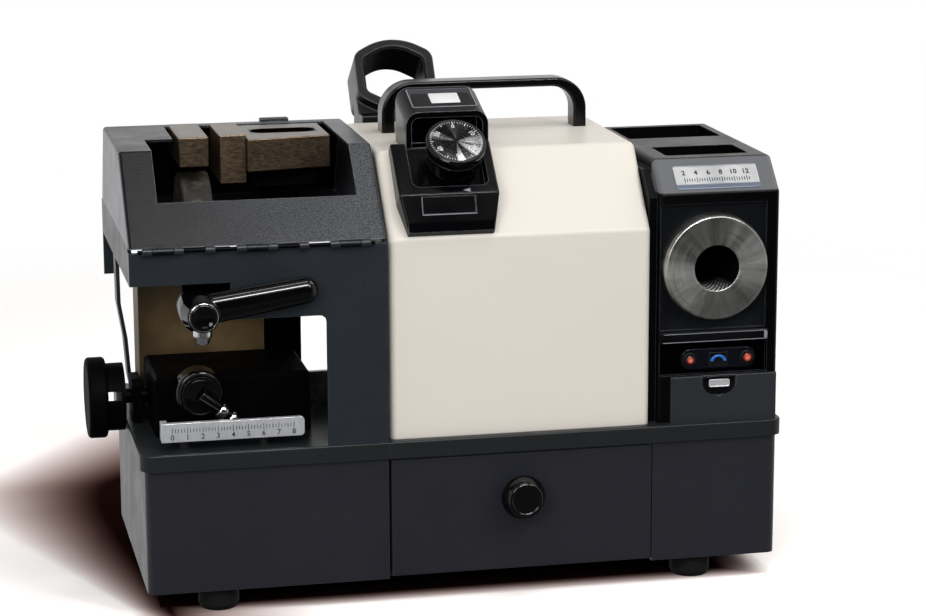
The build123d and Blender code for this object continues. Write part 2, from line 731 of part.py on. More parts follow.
def drawer_knob():
    r = PULL_D / 2
    neck = PULL_NECK_D / 2
    bore = M5 / 2 + FIT / 2
    with BuildPart() as knob:
        with BuildSketch(Plane.XZ):
            with BuildLine():
                a = Line((bore, 0), (neck, 0))
                b = Line(a @ 1, (neck, PULL_L * 0.28))
                c = ThreePointArc(b @ 1, (r * 0.8, PULL_L * 0.44), (r, PULL_L * 0.68))
                d = ThreePointArc(c @ 1, (r * 0.97, PULL_L * 0.88), (r * 0.82, PULL_L))
                e = ThreePointArc(d @ 1, (r * 0.5, PULL_L * 0.94), (r * 0.2, PULL_L * 0.91))
                e = Line(e @ 1, (0, PULL_L * 0.91))
                f = Line(e @ 1, (0, PULL_L / 2))
                g = Line(f @ 1, (bore, PULL_L / 2))
                Line(g @ 1, a @ 0)
            make_face()
        revolve(axis=Axis.Z)
    return Plane(origin=(PULL_X, Y_F, PULL_Z), z_dir=(0, -1, 0)).location * knob.part


def knob_screw():
    length = DRAWER_TRAY_T + DRAWER_FRONT_T + PULL_L / 2 - CUT
    return screw((PULL_X, TRAY_Y0 + DRAWER_TRAY_T, PULL_Z), (0, -1, 0), M5, length)


def drawer_runners():
    y0 = TRAY_Y0 + DRAWER_REVEAL
    y1 = Y_B - BASE_WALL
    z0 = RUNNER_Z0
    left = block(RUNNER_X0, RUNNER_X0 + RUNNER_T, y0, y1, z0, z0 + RUNNER_LEG)
    left += block(RUNNER_X0, RUNNER_X0 + RUNNER_LEDGE, y0, y1, z0, z0 + RUNNER_T)
    right = block(MOUTH_X1 - RUNNER_T, MOUTH_X1, y0, y1, z0, z0 + RUNNER_LEG)
    right += block(MOUTH_X1 - RUNNER_LEDGE, MOUTH_X1, y0, y1, z0, z0 + RUNNER_T)
    return group([left, right])


# Motor cover and what stands on it

def cover_shell(outline, inside):
    outer = prism_x(outline, COVER_X0, COVER_X1)
    edges = [edge for edge in outer.edges() if edge.center().Z > DECK_Z + COVER_R
             and abs(edge.center().Y - COVER_SEAM_Y) > COVER_SEAM_GAP]
    outer = fillet(edges, COVER_R)
    shell = outer - prism_x(inside, COVER_X0 + COVER_T, COVER_X1 - COVER_T)
    return shell - spindle_hole(COVER_X0, COVER_X1)


def main_cover():
    seam = COVER_SEAM_Y - COVER_SEAM_GAP / 2
    low = COVER_T * (SLOPE_LEN - SLOPE_RISE) / COVER_SLOPE_D
    high = COVER_T * (SLOPE_LEN - COVER_SLOPE_D) / SLOPE_RISE
    outline = [(COVER_Y0, DECK_Z), (COVER_Y0, COVER_EDGE_Z), (COVER_EDGE_Y, COVER_TOP), (seam, COVER_TOP),
               (seam, DECK_Z)]
    top = COVER_TOP - COVER_T
    inside = [(COVER_Y0 + COVER_T, DECK_Z - CUT), (COVER_Y0 + COVER_T, COVER_EDGE_Z - low),
              (COVER_EDGE_Y + high, top), (seam + CUT, top), (seam + CUT, DECK_Z - CUT)]
    shell = cover_shell(outline, inside)
    return shell - knob_plane().location * Cylinder(DIAL_SHAFT_D / 2 + GAP, 2 * DIAL_SHAFT_IN)


def rear_cover():
    seam = COVER_SEAM_Y + COVER_SEAM_GAP / 2
    outline = [(seam, DECK_Z), (seam, COVER_TOP), (COVER_Y1, COVER_TOP), (COVER_Y1, DECK_Z)]
    top = COVER_TOP - COVER_T
    back = COVER_Y1 - COVER_T
    inside = [(seam - CUT, DECK_Z - CUT), (seam - CUT, top), (back, top), (back, DECK_Z - CUT)]
    shell = cover_shell(outline, inside)
    cx = COVER_CX + VENT_OFF
    for i in range(VENT_COUNT):
        z = DECK_Z + VENT_UP + i * VENT_PITCH
        shell -= block(cx - VENT_W / 2, cx + VENT_W / 2, back - CUT, COVER_Y1 + CUT, z, z + VENT_H)
    for x in HANDLE_XS:
        shell -= rod("Z", M5 + FIT, top - CUT, COVER_TOP + CUT, x, HANDLE_CY)
    for x in HOLDER_XS:
        shell -= rod("Y", M5 + FIT, back - CUT, COVER_Y1 + CUT, x, HOLDER_SCREW_Z)
    return shell


def carry_handle():
    x0 = HANDLE_CX - HANDLE_L / 2
    x1 = HANDLE_CX + HANDLE_L / 2
    y1 = HANDLE_Y0 + HANDLE_DEEP
    z1 = COVER_TOP + HANDLE_H
    outer = block(x0, x1, HANDLE_Y0, y1, COVER_TOP, z1)
    outer = fillet(outer.edges().filter_by(Axis.Y).group_by(Axis.Z)[-1], HANDLE_R)
    inner = block(x0 + HANDLE_LEG_T, x1 - HANDLE_LEG_T, HANDLE_Y0 - CUT, y1 + CUT, COVER_TOP - CUT, z1 - HANDLE_BAR_T)
    inner = fillet(inner.edges().filter_by(Axis.Y).group_by(Axis.Z)[-1], HANDLE_R - HANDLE_BAR_T)
    strap = outer - inner
    faces = strap.faces().sort_by(Axis.Y)
    edges = faces[0].edges() + faces[-1].edges()
    strap = fillet([edge for edge in edges if edge.center().Z > COVER_TOP + FIT], HANDLE_EDGE_R)
    for x in HANDLE_XS:
        strap -= rod("Z", M5, COVER_TOP - CUT, COVER_TOP + HANDLE_SCREW_L, x, HANDLE_CY)
    return strap


def crowned_hexagon(across, corner_r, crown_r):
    """Hexagon with rounded corners, the top one wider."""
    outline = RegularPolygon(radius=across / math.sqrt(3), side_count=6, rotation=30)
    outline = fillet(outline.vertices().sort_by(Axis.Y)[:-1], corner_r)
    return fillet(outline.vertices().sort_by(Axis.Y)[-1:], crown_r)


def chuck_holder():
    lean = math.radians(HOLDER_TILT)
    face = Plane(origin=(HOLDER_CX, COVER_Y1 + HOLDER_SET, COVER_TOP), x_dir=(1, 0, 0),
                 z_dir=(0, -math.cos(lean), math.sin(lean)))
    axis = Plane(origin=face.from_local_coords((0, HOLDER_UP, 0)), x_dir=(1, 0, 0), z_dir=face.z_dir)
    hexagon = crowned_hexagon(HOLDER_AF, HOLDER_ROUND, HOLDER_CROWN)
    ring = axis.location * Pos(0, 0, -HOLDER_L) * extrude(hexagon, amount=HOLDER_L)
    x0 = HOLDER_CX - HOLDER_AF / 2
    x1 = HOLDER_CX + HOLDER_AF / 2
    y1 = COVER_Y1 + HOLDER_BLOCK_D
    low = COVER_TOP - HOLDER_BLOCK_H
    ring += block(x0, x1, COVER_Y1, y1, low, COVER_TOP + HOLDER_BLOCK_UP)
    bottom = face.from_local_coords((0, 0, -HOLDER_L))
    heel = face.from_local_coords((0, 0, -HOLDER_FOOT_SET))
    back = axis.from_local_coords((0, 0, -HOLDER_FOOT_SET))
    ring += prism_x([(heel.Y, heel.Z), (back.Y, back.Z), (y1, back.Z), (y1, bottom.Z)], x0, x1)
    room = 2 * HOLDER_AF
    ring -= block(x0 - CUT, x1 + CUT, COVER_Y1 - room, COVER_Y1, low - CUT, COVER_TOP + room)
    rear = COVER_Y1 + HOLDER_REAR
    ring -= block(x0 - CUT, x1 + CUT, rear, rear + room, low - CUT, COVER_TOP + room)
    socket = crowned_hexagon(HOLDER_HEX_AF, HOLDER_HEX_ROUND, HOLDER_HEX_CROWN)
    ring -= axis.location * Pos(0, 0, -room) * extrude(socket, amount=2 * room)
    mouth = [edge for edge in ring.edges() if abs(axis.to_local_coords(edge.center()).Z) < CUT / 10
             and axis.to_local_coords(edge.center()).length < HOLDER_HEX_AF / math.sqrt(3)]
    ring = chamfer(mouth, HOLDER_EDGE)
    for x in HOLDER_XS:
        ring -= rod("Y", M5, COVER_Y1 - CUT, COVER_Y1 + HOLDER_SCREW_L + CUT, x, HOLDER_SCREW_Z)
    return ring


# Dial unit

def slope_plane(x, along):
    """Plane on the cover's slope: X to the right, Y up the slope, Z out of it."""
    u = (COVER_SLOPE_D / SLOPE_LEN, SLOPE_RISE / SLOPE_LEN)
    return Plane(origin=(x, COVER_Y0 + u[0] * along, COVER_EDGE_Z + u[1] * along), x_dir=(1, 0, 0),
                 z_dir=(0, -u[1], u[0]))


def knob_plane():
    """Plane under the knob, square to its axis."""
    slope = slope_plane(DIAL_CX + KNOB_OFF, DIAL_TOE)
    return Plane(slope.location * Pos(0, KNOB_U, KNOB_LIFT) * Rot(-KNOB_LEAN, 0, 0))


def dial_base():
    half = DIAL_W / 2
    shave = (DIAL_W - DIAL_FOOT_W) / 2
    profile = [(0, 0), (0, DIAL_TOE_H), (DIAL_STEP_U, DIAL_STEP_H), (DIAL_RIM_U, DIAL_RIM_H),
               (DIAL_LEN, DIAL_TOP_H), (DIAL_LEN, 0)]
    body = prism_x(profile, -half, half)
    corner = [(-half - CUT, -CUT), (-half + shave, -CUT), (-half, DIAL_RIM_U), (-half - CUT, DIAL_RIM_U)]
    body -= prism_z(corner, -CUT, DIAL_RIM_H + CUT)
    body -= prism_z([(-x, y) for x, y in corner], -CUT, DIAL_RIM_H + CUT)
    rim = [edge for edge in body.edges() if edge.center().Z > DIAL_STEP_H and edge.center().Y < DIAL_LEN - CUT]
    body = fillet(rim, DIAL_EDGE_R)
    x = DIAL_POCKET_X
    half = DIAL_POCKET_W / 2
    well = block(x - half, x + half, DIAL_RIM_U + DIAL_LIP, DIAL_LEN + CUT, DIAL_FLOOR, 2 * DIAL_RIM_H)
    body -= fillet(well.edges().filter_by(Axis.Z).group_by(Axis.Y)[0], DIAL_POCKET_R)
    run = DIAL_RIM_U - DIAL_STEP_U
    rise = DIAL_RIM_H - DIAL_STEP_H
    face = math.hypot(run, rise)
    panel = [(DIAL_STEP_U + (run * s - rise * h) / face, DIAL_STEP_H + (rise * s + run * h) / face)
             for s, h in zip(DIAL_PANEL_S * 2, (-DIAL_PANEL_DEEP,) * 2 + (DIAL_STEP_H,) * 2)]
    body -= prism_x([panel[0], panel[1], panel[3], panel[2]], *DIAL_PANEL_X)
    body = slope_plane(DIAL_CX, DIAL_TOE).location * body
    return body - knob_plane().location * Cylinder(DIAL_SHAFT_D / 2 + RUN, 2 * DIAL_SHAFT_IN)


def dial_shaft():
    r = DIAL_SHAFT_D / 2
    plane = knob_plane()
    profile = [(0, -DIAL_SHAFT_IN), (r, -DIAL_SHAFT_IN), (r, DIAL_SHAFT_UP), (0, DIAL_SHAFT_UP)]
    return turned(profile, plane.origin, plane.z_dir)


def dial_knob():
    r = KNOB_D / 2
    low, high = KNOB_BAND
    waist = r - KNOB_BAND_DEEP
    bore = DIAL_SHAFT_D / 2
    profile = [(bore, 0), (KNOB_FOOT_D / 2, 0), (r, low), (waist, low), (waist, high), (r, high), (r, KNOB_L),
               (0, KNOB_L), (0, DIAL_SHAFT_UP), (bore, DIAL_SHAFT_UP)]
    plane = knob_plane()
    return turned(profile, plane.origin, plane.z_dir)


def dial_plate():
    disc = extrude(Circle(DIAL_PLATE_D / 2), amount=DIAL_PLATE_T)
    disc = chamfer(disc.edges().group_by(Axis.Z)[-1], DIAL_PLATE_T / 3)
    return knob_plane().location * Pos(0, 0, KNOB_L) * disc


def dial_visor():
    x0 = VISOR_CX - VISOR_W / 2
    x1 = VISOR_CX + VISOR_W / 2
    y1 = VISOR_Y0 + VISOR_D
    front = COVER_TOP + VISOR_FRONT_H
    profile = [(VISOR_Y0, COVER_TOP), (VISOR_Y0, front), (y1, COVER_TOP + VISOR_BACK_H), (y1, COVER_TOP)]
    body = prism_x(profile, x0, x1)
    roof = [edge for edge in body.faces().sort_by(Axis.Z)[-1].edges() if abs(edge.center().X - VISOR_CX) > CUT]
    body = fillet(roof, VISOR_R)
    cave = block(x0 + VISOR_WALL, x1 - VISOR_WALL, VISOR_Y0 - CUT, VISOR_Y0 + VISOR_CAVE,
                 COVER_TOP + VISOR_FLOOR, front - VISOR_WALL)
    return body - fillet(cave.edges().filter_by(Axis.Y).group_by(Axis.Z)[-1], VISOR_CAVE_R)


# Spindle and motor

def motor_body():
    """Shell and stator, pressed together."""
    bore = MOTOR_D - 2 * MOTOR_SHELL_T
    tube = rod("X", MOTOR_D, MOTOR_X0, MOTOR_X1, SPINDLE_Y, SPINDLE_Z)
    tube -= rod("X", bore, MOTOR_X0 - CUT, MOTOR_X1 + CUT, SPINDLE_Y, SPINDLE_Z)
    core = rod("X", bore + MOTOR_SHELL_T, COVER_CX - STATOR_L / 2, COVER_CX + STATOR_L / 2, SPINDLE_Y, SPINDLE_Z)
    return tube + core - rod("X", ROTOR_D + 2 * ROTOR_GAP, MOTOR_X0 - CUT, MOTOR_X1 + CUT, SPINDLE_Y, SPINDLE_Z)


def motor_ends():
    return ((MOTOR_X0, -1), (MOTOR_X1, 1))


def motor_end_bells():
    r = MOTOR_D / 2
    seat = BEARING_D / 2
    hole = SPINDLE_D / 2 + BELL_HOLE_GAP
    profile = [(hole, BELL_L), (hole, BEARING_W), (seat, BEARING_W), (seat, 0), (r, 0), (r, BELL_RIM_L),
               (BELL_HUB_D / 2, BELL_L)]
    return group(turned(profile, (x, SPINDLE_Y, SPINDLE_Z), (way, 0, 0)) for x, way in motor_ends())


def shaft_bearings():
    r = SPINDLE_D / 2 + RUN
    outer = BEARING_D / 2
    profile = [(r, 0), (outer, 0), (outer, BEARING_W), (r, BEARING_W)]
    return group(turned(profile, (x, SPINDLE_Y, SPINDLE_Z), (way, 0, 0)) for x, way in motor_ends())


def motor_cradle():
    y0 = SPINDLE_Y - CRADLE_W / 2
    y1 = SPINDLE_Y + CRADLE_W / 2
    x0 = MOTOR_X0 + CRADLE_INSET
    x1 = MOTOR_X1 - CRADLE_INSET
    cradle = block(x0, x1, y0, y1, DECK_Z, DECK_Z + CRADLE_FOOT_T)
    cradle += block(x0, x0 + CRADLE_T, y0, y1, DECK_Z, SPINDLE_Z - CRADLE_DROP)
    cradle += block(x1 - CRADLE_T, x1, y0, y1, DECK_Z, SPINDLE_Z - CRADLE_DROP)
    return cradle - rod("X", MOTOR_D, x0 - CUT, x1 + CUT, SPINDLE_Y, SPINDLE_Z)


def rotor_shaft():
    return rod("X", SPINDLE_D, SPINDLE_X0, SPINDLE_X1, SPINDLE_Y, SPINDLE_Z)


def on_shaft(d, x0, x1, edge):
    """Disc that sits on the spindle."""
    disc = rod("X", d, x0, x1, SPINDLE_Y, SPINDLE_Z)
    if edge:
        disc = chamfer(disc.edges().filter_by(GeomType.CIRCLE), edge)
    return disc - rod("X", SPINDLE_D, x0 - CUT, x1 + CUT, SPINDLE_Y, SPINDLE_Z)


def rotor_core():
    return on_shaft(ROTOR_D, COVER_CX - ROTOR_L / 2, COVER_CX + ROTOR_L / 2, 0)


def tap_wheel():
    return on_shaft(TAP_WHEEL_D, TAP_WHEEL_X0, TAP_WHEEL_X1, WHEEL_EDGE)


def drill_wheel():
    return on_shaft(DRILL_WHEEL_D, DRILL_WHEEL_X0, DRILL_WHEEL_X1, WHEEL_EDGE)


def wheel_flanges():
    places = (TAP_WHEEL_X0 - FLANGE_T, TAP_WHEEL_X1, DRILL_WHEEL_X0 - FLANGE_T, DRILL_WHEEL_X1)
    return group(on_shaft(FLANGE_D, x, x + FLANGE_T, 0) for x in places)


def wheel_nuts():
    nuts = []
    for x in (TAP_WHEEL_X0 - FLANGE_T - NUT_H, DRILL_WHEEL_X1 + FLANGE_T):
        nut = extrude(Plane.YZ * RegularPolygon(radius=NUT_AF / math.sqrt(3), side_count=6), amount=NUT_H)
        nut = Pos(x, SPINDLE_Y, SPINDLE_Z) * nut
        nuts.append(nut - rod("X", SPINDLE_D, x - CUT, x + NUT_H + CUT, SPINDLE_Y, SPINDLE_Z))
    return group(nuts)


# Drill housing

def housing_outline(inset, foot):
    rise = HOUSING_TOP - HOUSING_EDGE_Z
    length = math.hypot(HOUSING_SLOPE_D, rise)
    low = inset * (length - rise) / HOUSING_SLOPE_D
    high = inset * (length - HOUSING_SLOPE_D) / rise
    top = HOUSING_TOP - inset
    return [(HOUSING_Y0 + inset, foot), (HOUSING_Y0 + inset, HOUSING_EDGE_Z - low),
            (HOUSING_Y0 + HOUSING_SLOPE_D + high, top), (HOUSING_Y1 - inset, top), (HOUSING_Y1 - inset, foot)]


def tray_places():
    """Half width and the Y range of the two tool trays."""
    y1 = HOUSING_Y1 - REAR_TRAY_BACK
    y2 = HOUSING_Y0 + HOUSING_SLOPE_D + FRONT_TRAY_SET
    return ((REAR_TRAY_W / 2, y1 - REAR_TRAY_D, y1), (FRONT_TRAY_W / 2, y2, y2 + FRONT_TRAY_D))


def pod_solid(grow, y0, y1):
    w = POD_W / 2 + grow
    h = POD_H / 2 + grow
    pod = block(POD_X - w, POD_X + w, y0, y1, POD_Z - h, POD_Z + h)
    return fillet(pod.edges().filter_by(Axis.Y), POD_R + grow)


def drill_housing():
    outer = prism_x(housing_outline(0, DECK_Z), HOUSING_X0, HOUSING_X1)
    outer = fillet([edge for edge in outer.edges() if edge.center().Z > DECK_Z + CUT], HOUSING_R)
    t = HOUSING_T
    shell = outer - prism_x(housing_outline(t, DECK_Z - CUT), HOUSING_X0 + t, HOUSING_X1 - t)
    shell += prism_x(housing_outline(STRIP_INSET, DECK_Z), STRIP_X0, HOUSING_X0 + t)
    panel_z = DECK_Z + PANEL_UP
    x0 = PANEL_X0
    back = HOUSING_Y0 + t / 2
    shell += block(x0, x0 + PANEL_W + t, back, HOUSING_Y0 + PANEL_DEEP + t, panel_z - t, panel_z + PANEL_H + t)
    shell -= block(x0, x0 + PANEL_W, HOUSING_Y0 - CUT, HOUSING_Y0 + PANEL_DEEP, panel_z, panel_z + PANEL_H)
    control_z = DECK_Z + CONTROL_UP
    deep = HOUSING_Y0 + CONTROL_DEEP
    shell += block(x0, x0 + CONTROL_W + t, back, deep + t, control_z - t, control_z + CONTROL_H + t)
    shell -= block(x0, x0 + CONTROL_W, HOUSING_Y0 - CUT, deep, control_z, control_z + CONTROL_H)
    lip_z = DECK_Z + LIP_UP
    lip = block(x0, x0 + LIP_W, HOUSING_Y0 - LIP_OUT, back, lip_z, lip_z + LIP_H)
    shell += fillet(lip.faces().sort_by(Axis.Y)[0].edges(), LIP_R)
    cx = HOUSING_X0 + TRAY_OFF
    z0 = HOUSING_TOP - TRAY_DEEP
    w = TRAY_WALL
    for half, y0, y1 in tray_places():
        shell += block(cx - half - w, cx + half + w, y0 - w, y1 + w, z0 - w, HOUSING_TOP - t / 2)
        well = block(cx - half, cx + half, y0, y1, z0, HOUSING_TOP + CUT)
        shell -= fillet(well.edges().filter_by(Axis.Z), TRAY_R)
    shell -= rod("Y", PORT_BUSH_D + FIT, HOUSING_Y0 - CUT, HOUSING_Y0 + PANEL_DEEP + t + CUT, PORT_X, PORT_Z)
    shell -= spindle_hole(STRIP_X0, HOUSING_X0 + t)
    return shell - pod_solid(FIT, HOUSING_Y0 - CUT, deep + t + CUT)


def port_flange():
    y1 = HOUSING_Y0 + PANEL_DEEP
    y0 = y1 - PORT_FLANGE_T
    disc = rod("Y", PORT_FLANGE_D, y0, y1, PORT_X, PORT_Z)
    disc = chamfer(disc.edges().filter_by(GeomType.CIRCLE).group_by(Axis.Y)[0], PORT_EDGE)
    disc -= rod("Y", PORT_BORE_D, y0 - CUT, y1 + CUT, PORT_X, PORT_Z)
    return disc - rod("Y", PORT_BUSH_D, y0 + PORT_LAND, y1 + CUT, PORT_X, PORT_Z)


def port_bush():
    """Sleeve behind the flange, with slanted grooves in its bore."""
    y0 = HOUSING_Y0 + PANEL_DEEP - PORT_FLANGE_T + PORT_LAND
    r = PORT_BORE_D / 2
    sleeve = extrude(Circle(PORT_BUSH_D / 2) - Circle(r), amount=PORT_BUSH_L)
    tooth = [(r - CUT, -PORT_GROOVE_W / 2), (r - CUT, PORT_GROOVE_W / 2), (r + PORT_GROOVE_DEEP, 0)]
    low = make_face(Polyline([(x, y, -CUT) for x, y in tooth], close=True))
    high = Pos(0, 0, PORT_BUSH_L + 2 * CUT) * low
    twist = PORT_TWIST / 2
    groove = loft([Rot(0, 0, -twist) * low, Rot(0, 0, twist) * high], ruled=True)
    sleeve -= [Rot(0, 0, i * 360 / PORT_GROOVES) * groove for i in range(PORT_GROOVES)]
    return Plane(origin=(PORT_X, y0, PORT_Z), x_dir=(1, 0, 0), z_dir=(0, 1, 0)).location * sleeve


def control_panel():
    pod = pod_solid(0, POD_Y0, POD_Y1)
    pod = fillet(pod.faces().sort_by(Axis.Y)[0].edges(), POD_EDGE_R)
    pod += pod_solid(POD_FLANGE, HOUSING_Y0 + CONTROL_DEEP + HOUSING_T, POD_Y1)
    for x in BUTTON_XS:
        pod -= rod("Y", BUTTON_D + 2 * GAP, POD_Y0 - CUT, POD_Y0 + BUTTON_CAP + GAP, x, POD_Z)
        pod -= rod("Y", BUTTON_STEM_D + 2 * GAP, POD_Y0 - CUT, POD_Y1 + CUT, x, POD_Z)
    w = ROCKER_W / 2 + GAP
    h = ROCKER_H / 2 + ROCKER_ROOM
    pod -= block(POD_X - w, POD_X + w, POD_Y0 - CUT, POD_Y0 + ROCKER_T + ROCKER_ROOM, POD_Z - h, POD_Z + h)
    reach = ROCKER_W / 2 + ROCKER_PIN_L + GAP
    return pod - rod("X", ROCKER_PIN_D + 2 * RUN, POD_X - reach, POD_X + reach, POD_Y0 + ROCKER_T / 2, POD_Z)


def button(x):
    r = BUTTON_D / 2
    stem = BUTTON_STEM_D / 2
    back = BUTTON_CAP - BUTTON_OUT
    profile = [(0, -BUTTON_OUT), (r - BUTTON_EDGE, -BUTTON_OUT), (r, BUTTON_EDGE - BUTTON_OUT), (r, back),
               (stem, back), (stem, POD_DEEP - GAP), (0, POD_DEEP - GAP)]
    return turned(profile, (x, POD_Y0, POD_Z), (0, 1, 0))


def button_left():
    return button(BUTTON_XS[0])


def button_right():
    return button(BUTTON_XS[1])


def rocker_switch():
    h = ROCKER_H / 2
    y0 = POD_Y0 - ROCKER_OUT
    y1 = POD_Y0 + ROCKER_T
    profile = [(y0, POD_Z + h), (POD_Y0, POD_Z), (y0, POD_Z - h), (y1 - ROCKER_OUT, POD_Z - h), (y1, POD_Z),
               (y1 - ROCKER_OUT, POD_Z + h)]
    rocker = prism_x(profile, POD_X - ROCKER_W / 2, POD_X + ROCKER_W / 2)
    reach = ROCKER_W / 2 + ROCKER_PIN_L
    return rocker + rod("X", ROCKER_PIN_D, POD_X - reach, POD_X + reach, POD_Y0 + ROCKER_T / 2, POD_Z)


def control_board():
    y0 = BOARD_Y0
    w = BOARD_W / 2
    h = BOARD_H / 2
    board = block(POD_X - w, POD_X + w, y0, y0 + BOARD_T, POD_Z - h, POD_Z + h)
    for x in (POD_X - w + BOARD_POST_IN, POD_X + w - BOARD_POST_IN):
        board += rod("Y", BOARD_POST_D, HOUSING_Y0 + CONTROL_DEEP + HOUSING_T, y0 + BOARD_T, x, POD_Z)
    k = BOARD_KEY_W / 2
    for x in BUTTON_XS:
        board += block(x - k, x + k, y0 - BOARD_KEY_H, y0 + BOARD_T, POD_Z - k, POD_Z + k)
    return board


def lower_cover():
    x1 = HOUSING_X1 - LOWER_OFF
    x0 = x1 - LOWER_W
    y0 = HOUSING_Y0 - LOWER_T
    z1 = DECK_Z + LOWER_H
    plate = block(x0, x1, y0, HOUSING_Y0, DECK_Z, z1)
    front = plate.faces().sort_by(Axis.Y)[0].edges()
    plate = fillet([edge for edge in front if edge.center().Z > DECK_Z + CUT], LOWER_EDGE_R)
    w = BADGE_W / 2
    low = z1 - BADGE_H
    step = BADGE_H / 2
    badge = [(POD_X - w, z1 + CUT), (POD_X - w, low + step), (POD_X, low), (POD_X + w, low + step),
             (POD_X + w, z1 + CUT)]
    return plate - prism_y(badge, y0 - CUT, y0 + BADGE_DEEP)


# Tap frame and hood

def hinge_tabs():
    return [FRAME_X0 + HINGE_START + i * HINGE_PITCH for i in range(HINGE_TABS)]


def tap_frame():
    """Bent sheet: front plate with its window, left band, right wall and rear bar."""
    step_x = FRAME_X0 + WINDOW_STEP
    column_x = FRAME_X1 - FRAME_COLUMN_W
    low_z = DECK_Z + WINDOW_H
    high_z = DECK_Z + WINDOW_LEFT_H
    outline = [(FRAME_X0, FRAME_Z1), (FRAME_X0, high_z), (step_x, high_z), (step_x, low_z), (column_x, low_z),
               (column_x, DECK_Z), (FRAME_X1, DECK_Z), (FRAME_X1, FRAME_Z1)]
    plate = prism_y(outline, FRAME_Y0, FRAME_Y1)
    inner = [edge for edge in plate.edges().filter_by(Axis.Y)
             if abs(edge.center().X - column_x) < CUT and abs(edge.center().Z - low_z) < CUT]
    plate = fillet(inner, WINDOW_R)
    frame = plate + block(FRAME_X0, FRAME_X0 + BAND_T, FRAME_Y1 - CUT, BAND_Y1, high_z, FRAME_Z1)
    frame += block(FRAME_X1 - BAND_T, FRAME_X1, FRAME_Y1 - CUT, BAND_Y1, DECK_Z, FRAME_Z1)
    step_y = FRAME_Y1 + HINGE_D
    frame += block(FRAME_X0, FRAME_X0 + BAND_T, step_y, BAND_Y1, FRAME_Z1 - CUT, BAND_Z1)
    frame += block(FRAME_X1 - BAND_T, FRAME_X1, step_y, BAND_Y1, FRAME_Z1 - CUT, BAND_Z1)
    frame += block(FRAME_X0, FRAME_X1, BAND_Y1 - BAND_T, BAND_Y1, BAND_Z1 - REAR_BAR_H, BAND_Z1)
    frame += block(FRAME_X0, FRAME_X0 + EAR_W, BAND_Y1 - BAND_T, BAND_Y1, BAND_Z1 - EAR_H, BAND_Z1)
    half = SHAFT_HOLE_D / 2
    frame -= spindle_hole(FRAME_X1 - BAND_T, FRAME_X1)
    frame -= block(FRAME_X1 - BAND_T - CUT, FRAME_X1 + CUT, SPINDLE_Y - half, SPINDLE_Y + half, SPINDLE_Z,
                   BAND_Z1 + CUT)
    for x in hinge_tabs():
        x0 = x - HINGE_TAB_W / 2
        x1 = x + HINGE_TAB_W / 2
        frame += block(x0, x1, HINGE_Y, FRAME_Y0 + FRAME_T / 2, HINGE_Z - HINGE_D / 2, FRAME_Z1)
        frame += rod("X", HINGE_D, x0, x1, HINGE_Y, HINGE_Z)
    xs = hinge_tabs()
    frame -= rod("X", HINGE_PIN_D, xs[0] - HINGE_PITCH, xs[-1] + HINGE_PITCH, HINGE_Y, HINGE_Z)
    return frame


def hinge_pin():
    xs = hinge_tabs()
    return rod("X", HINGE_PIN_D, xs[0] - HINGE_TAB_W, xs[-1] + HINGE_TAB_W, HINGE_Y, HINGE_Z)


def hinge_barrels():
    """The hood's knuckles, each between two tabs of the frame."""
    xs = hinge_tabs()
    knuckles = []
    for i in (0, HINGE_TABS // 2 - 1, HINGE_TABS - 2):
        x0 = xs[i] + HINGE_TAB_W / 2 + GAP
        x1 = xs[i + 1] - HINGE_TAB_W / 2 - GAP
        knuckle = rod("X", HINGE_D, x0, x1, HINGE_Y, HINGE_Z)
        knuckle += block(x0, x1, HINGE_Y, FRAME_Y0 + HOOD_T, HINGE_Z, HOOD_Z0)
        knuckles.append(knuckle - rod("X", HINGE_PIN_D + 2 * RUN, x0 - CUT, x1 + CUT, HINGE_Y, HINGE_Z))
    return group(knuckles)


def hood():
    y_low = Y_B - HOOD_BACK
    y_top = Y_B - HOOD_TOP_BACK
    outline = [(FRAME_Y0, HOOD_Z0), (HOOD_SLOPE_Y, HOOD_Z1), (y_top, HOOD_Z1), (y_low, HOOD_Z0)]
    outer = prism_x(outline, FRAME_X0, FRAME_X1)
    outer = fillet([edge for edge in outer.edges() if edge.center().Z > HOOD_Z0 + CUT], HOOD_R)
    t = HOOD_T
    run = HOOD_SLOPE_D / HOOD_H
    lean = (y_low - y_top) / HOOD_H
    side = t * math.hypot(1, run)
    back = t * math.hypot(1, lean)
    inside = [(FRAME_Y0 + side - CUT * run, HOOD_Z0 - CUT), (HOOD_SLOPE_Y + side - t * run, HOOD_Z1 - t),
              (y_top - back + t * lean, HOOD_Z1 - t), (y_low - back + CUT * lean, HOOD_Z0 - CUT)]
    shell = outer - prism_x(inside, FRAME_X0 + t, FRAME_X1 - t)
    z_low = HOOD_Z0 + CUT_FRONT / 2
    shell -= block(FRAME_X0 + CUT_LEFT, FRAME_X1 - CUT_RIGHT, FRAME_Y0 + CUT_FRONT, HOOD_SLOPE_Y + CUT_SHELF, z_low,
                   HOOD_Z1 + CUT)
    deep = RAIL_Y + CUT_ROOM
    shell -= block(ANVIL_X0 - CUT_ROOM, FRAME_X1 - CUT_RIGHT, HOOD_SLOPE_Y, deep, z_low, HOOD_Z1 + CUT)
    y0 = deep + TAB_SET
    tab = block(BAR_CX - TAB_W / 2, BAR_CX + TAB_W / 2, y0, y0 + TAB_D, HOOD_Z1 - t / 2, HOOD_Z1 + TAB_H)
    return shell + fillet(tab.faces().sort_by(Axis.Z)[-1].edges(), TAB_H / 3)


